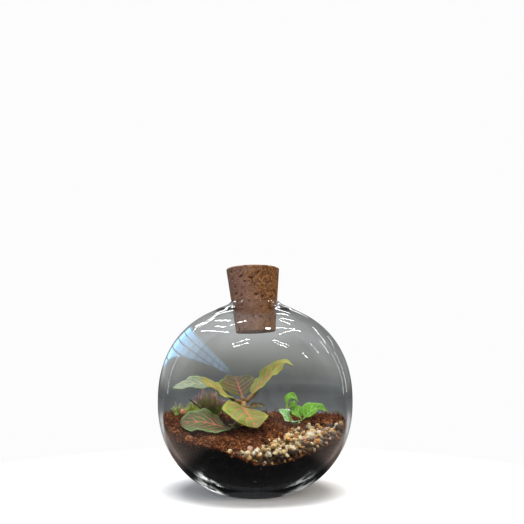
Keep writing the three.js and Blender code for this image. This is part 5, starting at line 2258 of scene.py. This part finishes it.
@dataclass(frozen=True)
class Studio:
    """Pale floor and backdrop, soft light, and a camera at the photograph's angle."""

    camera_place: Point = (0.0, -0.56, 0.111)
    centre_z: float = 0.086
    lens: float = 41.0
    raised: float = 5.15
    shift: tuple[float, float] = (0.013, 0.16)
    floor_half: float = 8.0
    floor_drop: float = 0.0002
    ceiling: float = 1.45
    # Both ends, in x and y, of each strip light under the ceiling
    strips: tuple[tuple[float, float, float, float], ...] = (
        (-0.6, -0.66, -0.12, -0.57), (-0.62, -0.8, -0.15, -0.73), (0.41, -0.54, 0.9, -0.56),
        (0.44, -0.65, 0.93, -0.67), (1.47, 0.17, 2.08, 0.25), (1.53, -0.54, 2.08, -0.57),
        (-1.12, 0.75, -0.74, 0.07), (-0.9, 1.11, -0.66, 1.17), (-1.17, 1.88, -0.9, 1.11),
        (-0.47, 0.17, -0.15, 0.25), (0.41, 0.45, 0.64, 0.43), (0.42, 0.59, 0.68, 0.81),
        (0.41, 0.01, 0.92, 0.35), (0.43, 2.84, 0.77, 3.23), (0.53, 3.61, 0.92, 3.12),
        (1.74, 3.01, 2.42, 2.69), (-0.63, 1.79, -0.26, 2.33), (-0.63, 1.54, -0.33, 1.35),
        (-0.69, 0.84, -0.43, 0.42), (-0.75, 0.45, -0.57, 0.18), (-0.82, 0.19, -0.54, -0.12),
        (0.3, 1.64, 0.53, 1.43), (0.33, 0.93, 0.52, 1.12), (0.51, -0.24, 0.79, 0.23),
        (-1.34, 1.39, -0.93, 1.56), (-1.08, 1.23, -0.64, 1.42), (1.11, 1.36, 1.95, 1.38),
        (1.61, 0.87, 2.63, 1.29),
    )
    strip_width: float = 0.02
    glare: float = 48.0
    # How much wider and how much dimmer a strip is, the further away it hangs
    widening: float = 0.7
    dimming: float = 0.9
    # Place in x and y, and width, of each upright light at the sides
    posts: tuple[Point, ...] = ((1.0, 0.55, 0.03), (1.0, 0.8, 0.05), (-1.0, 0.5, 0.03))
    post_height: float = 0.5
    post_glare: float = 3.0
    pale: Colour = grey(0.975)
    window: Colour = (0.8, 1.6, 2.6, 1)
    # A ray has met more glass surfaces than this where it has left the globe again
    inside: float = 2.5

    def _window(self, tree: Tree, x: Wire, y: Wire, z: Wire) -> Wire:
        """A tall window at the left with bars, seen only as a reflection.

        Args:
            tree: The world's node tree.
            x: How far to the right a ray looks.
            y: How far back it looks.
            z: How far up it looks.

        Returns:
            How bright the window is in that direction.
        """
        left = tree.math("MAXIMUM", x * -1, 0.05)
        along = y / left
        up = z / left
        bright = tree.span(up - (0.55 - along * 0.15), 0, 0.03) * tree.span(up, 1.03, 1.06, 1, 0)
        bright = bright * tree.span(along, -2, -0.9) * tree.span(along, 2.2, 2.6, 1, 0)
        bright = bright * tree.span(x, -0.06, -0.05, 1, 0)
        for value, step, bar in ((along, 0.3, 0.07), (up, 0.17, 0.12)):
            cell = abs(tree.math("FRACT", value / step) - 0.5)
            bright = bright * tree.span(cell, 0.5 - bar, 0.5 - bar / 2, 1, 0.12)
        return bright

    def _world(self) -> None:
        """White for the camera, and soft greys for what the glass shows and reflects."""
        world = bpy.data.worlds.new("studio")
        bpy.context.scene.world = world
        tree = Tree.cleared(world)
        way = tree.node("TexCoord")["Generated"]
        x, y, z = tree.parts(way)
        path = tree.node("LightPath")
        behind = tree.ramp(
            z, (0.0, (0.16, 0.165, 0.165, 1)), (0.03, (0.25, 0.25, 0.235, 1)), (0.1, (0.54, 0.545, 0.55, 1)),
            (0.35, grey(0.45)), (0.9, grey(0.46)), (1.0, grey(0.7)),
        )
        cloudy = tree.span(tree.noise(2.6, 3, 0.6, way), 0.35, 0.65, 0.78, 1.12)
        behind = tree.mix(1, behind, cloudy, "MULTIPLY")
        through = tree.math("GREATER_THAN", path["Transmission Depth"], self.inside)
        front = tree.mix(through, (0.05, 0.05, 0.052, 1), grey(0.4))
        soft = tree.mix(tree.span(y + z * 0.6, -0.35, 0.45), front, behind)
        right = tree.span(x, 0.02, 0.14, 0, 0.45) * tree.span(z, 0.03, 0.08)
        soft = tree.mix(right, soft, grey(0.1))
        outer = tree.math("SUBTRACT", path["Is Glossy Ray"], path["Is Transmission Ray"], clamp=True)
        soft = tree.mix(outer * tree.span(y, 0.05, 0.6, 0, 0.6), soft, grey(0.02))
        near = tree.math("SUBTRACT", path["Is Glossy Ray"], through, clamp=True)
        soft = tree.mix(self._window(tree, x, y, z) * near, soft, self.window)
        unseen = tree.wire("Background", {0: soft})
        seen = tree.wire("Background", {0: self.pale})
        tree.node("OutputWorld", {0: tree.wire("MixShader", {0: path["Is Camera Ray"], 1: unseen, 2: seen})})

    def _floor_looks(self) -> bpy.types.Material:
        """Pale for the camera. The glass sees it dim, bright close behind it, with two lit patches below.

        Returns:
            The floor's material.
        """
        made = bpy.data.materials.new("pale floor")
        tree = Tree.cleared(made)
        path = tree.node("LightPath")
        x, y, _ = tree.parts(tree.place())
        away = tree.node("VectorMath", {0: tree.place()}, operation="LENGTH")["Value"]
        far = tree.ramp(
            away / self.floor_half, (0.0, grey(0.9)), (0.05, grey(0.6)), (0.1, grey(0.2)),
            (0.15, (0.15, 0.155, 0.16, 1)), (0.4, (0.1, 0.104, 0.108, 1)), (1.0, (0.14, 0.145, 0.15, 1)),
        )
        aside = abs(x)
        around = tree.span(y - aside * 0.75, 0, 0.05) * tree.span(away, 0.045, 0.09)
        through = tree.math("GREATER_THAN", path["Transmission Depth"], self.inside)
        dim = tree.mix(through, (0.03, 0.03, 0.032, 1), (0.26, 0.264, 0.268, 1))
        flank = tree.span(aside, 0.08, 0.11) * tree.span(aside, 0.16, 0.3, 1, 0) * (1 - through)
        dim = tree.mix(flank, dim, (0.27, 0.205, 0.18, 1))
        dim = tree.mix(around, dim, far)
        patchy = tree.span(tree.noise(60, 3, 0.6), 0.38, 0.6) * path["Is Glossy Ray"]
        patchy = patchy * tree.span(aside, 0.022, 0.036) * tree.span(aside, 0.05, 0.07, 1, 0)
        patchy = patchy * tree.span(y, -0.032, -0.022) * tree.span(y, 0, 0.02, 1, 0)
        patchy = patchy * tree.span(x, -0.02, 0.02, 1, 0.36)
        dim = tree.mix(patchy, dim, (2.4, 2.45, 2.45, 1))
        straight = path["Is Camera Ray"]
        glow = tree.wire("Emission", {0: tree.mix(straight, dim, self.pale)})
        matte = tree.wire("BsdfDiffuse", {0: grey(0.9)})
        share = tree.math("MAXIMUM", 1 - straight, tree.span(away, 0.16, 0.38))
        tree.node("OutputMaterial", {0: tree.wire("MixShader", {0: share, 1: matte, 2: glow})})
        return made

    def _floor(self) -> None:
        """A plain pale floor that fades into the backdrop."""
        bm = bmesh.new()
        bmesh.ops.create_grid(bm, x_segments=1, y_segments=1, size=self.floor_half)
        bmesh.ops.translate(bm, vec=(0, 0, -self.floor_drop), verts=bm.verts[:])
        mesh = bpy.data.meshes.new("floor")
        bm.to_mesh(mesh)
        bm.free()
        mesh.materials.append(self._floor_looks())
        floor = bpy.data.objects.new("floor", mesh)
        bpy.context.scene.collection.objects.link(floor)

    def _lights(self) -> None:
        """Soft main lights, and thin strips and a spot that show in the glass."""
        middle = (0.0, 0.0, 0.09)
        Lamp("top", (0.0, -0.3, 1.5), middle, 1.0, 0.8, 32.0).build()
        Lamp("key", (0.35, -1.3, 1.0), middle, 1.0, 1.0, 12.0).build()
        Lamp("fill", (-0.9, -0.9, 0.6), middle, 0.9, 0.9, 7.0, (0.82, 0.9, 1.0)).build()
        Lamp("rake", (1.1, -0.5, 0.45), (0.0, 0.0, 0.19), 0.16, 0.16, 4.6, (1.0, 0.84, 0.6)).build()
        for number, (x0, y0, x1, y1) in enumerate(self.strips):
            x, y = (x0 + x1) / 2, (y0 + y1) / 2
            length = math.hypot(x1 - x0, y1 - y0)
            width = self.strip_width * (1 + self.widening * y * y)
            watts = self.glare / (1 + self.dimming * y * y) * math.pi * length * width
            ends = ((x, y, self.ceiling), (x, y, 0.0))
            turn = math.atan2(y1 - y0, x1 - x0)
            Lamp(f"strip_{number}", *ends, length, width, watts, seen=True, turn=turn).build()
        for number, (x, y, width) in enumerate(self.posts):
            watts = self.post_glare * math.pi * width * self.post_height
            ends = ((x, y, 0.35), (0.0, y, 0.35))
            Lamp(f"post_{number}", *ends, width, self.post_height, watts, seen=True).build()
        Lamp("spot", (0.24, -0.1, self.ceiling), (0.24, -0.1, 0.0), 0.1, 0.08, 0.9, seen=True).build()

    def _camera(self) -> None:
        """The camera, raised a little so that less of the framing is shift."""
        data = bpy.data.cameras.new("camera")
        data.lens = self.lens
        data.shift_x, data.shift_y = self.shift
        camera = bpy.data.objects.new("camera", data)
        camera.location = self.camera_place
        drop = self.camera_place[2] - self.centre_z
        pitch = math.radians(self.raised) - math.atan2(drop, -self.camera_place[1])
        camera.rotation_euler = (math.pi / 2 + pitch, 0, 0)
        bpy.context.scene.collection.objects.link(camera)
        bpy.context.scene.camera = camera

    def build(self) -> None:
        """Sets up the whole studio."""
        bpy.context.scene.view_settings.view_transform = "Standard"
        self._camera()
        self._world()
        self._floor()
        self._lights()


def main() -> None:
    """Builds the studio and every piece of the terrarium."""
    logging.basicConfig(level=logging.INFO, format="%(name)s: %(message)s")
    Studio().build()
    globe = Globe()
    plants = (NervePlant(), Seedling(), *TUFTS, Bud())
    for part in (globe, Stopper(), Earth(globe), Gravel(globe), *plants, Litter()):
        part.build()
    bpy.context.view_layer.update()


if __name__ == "__main__":
    main()
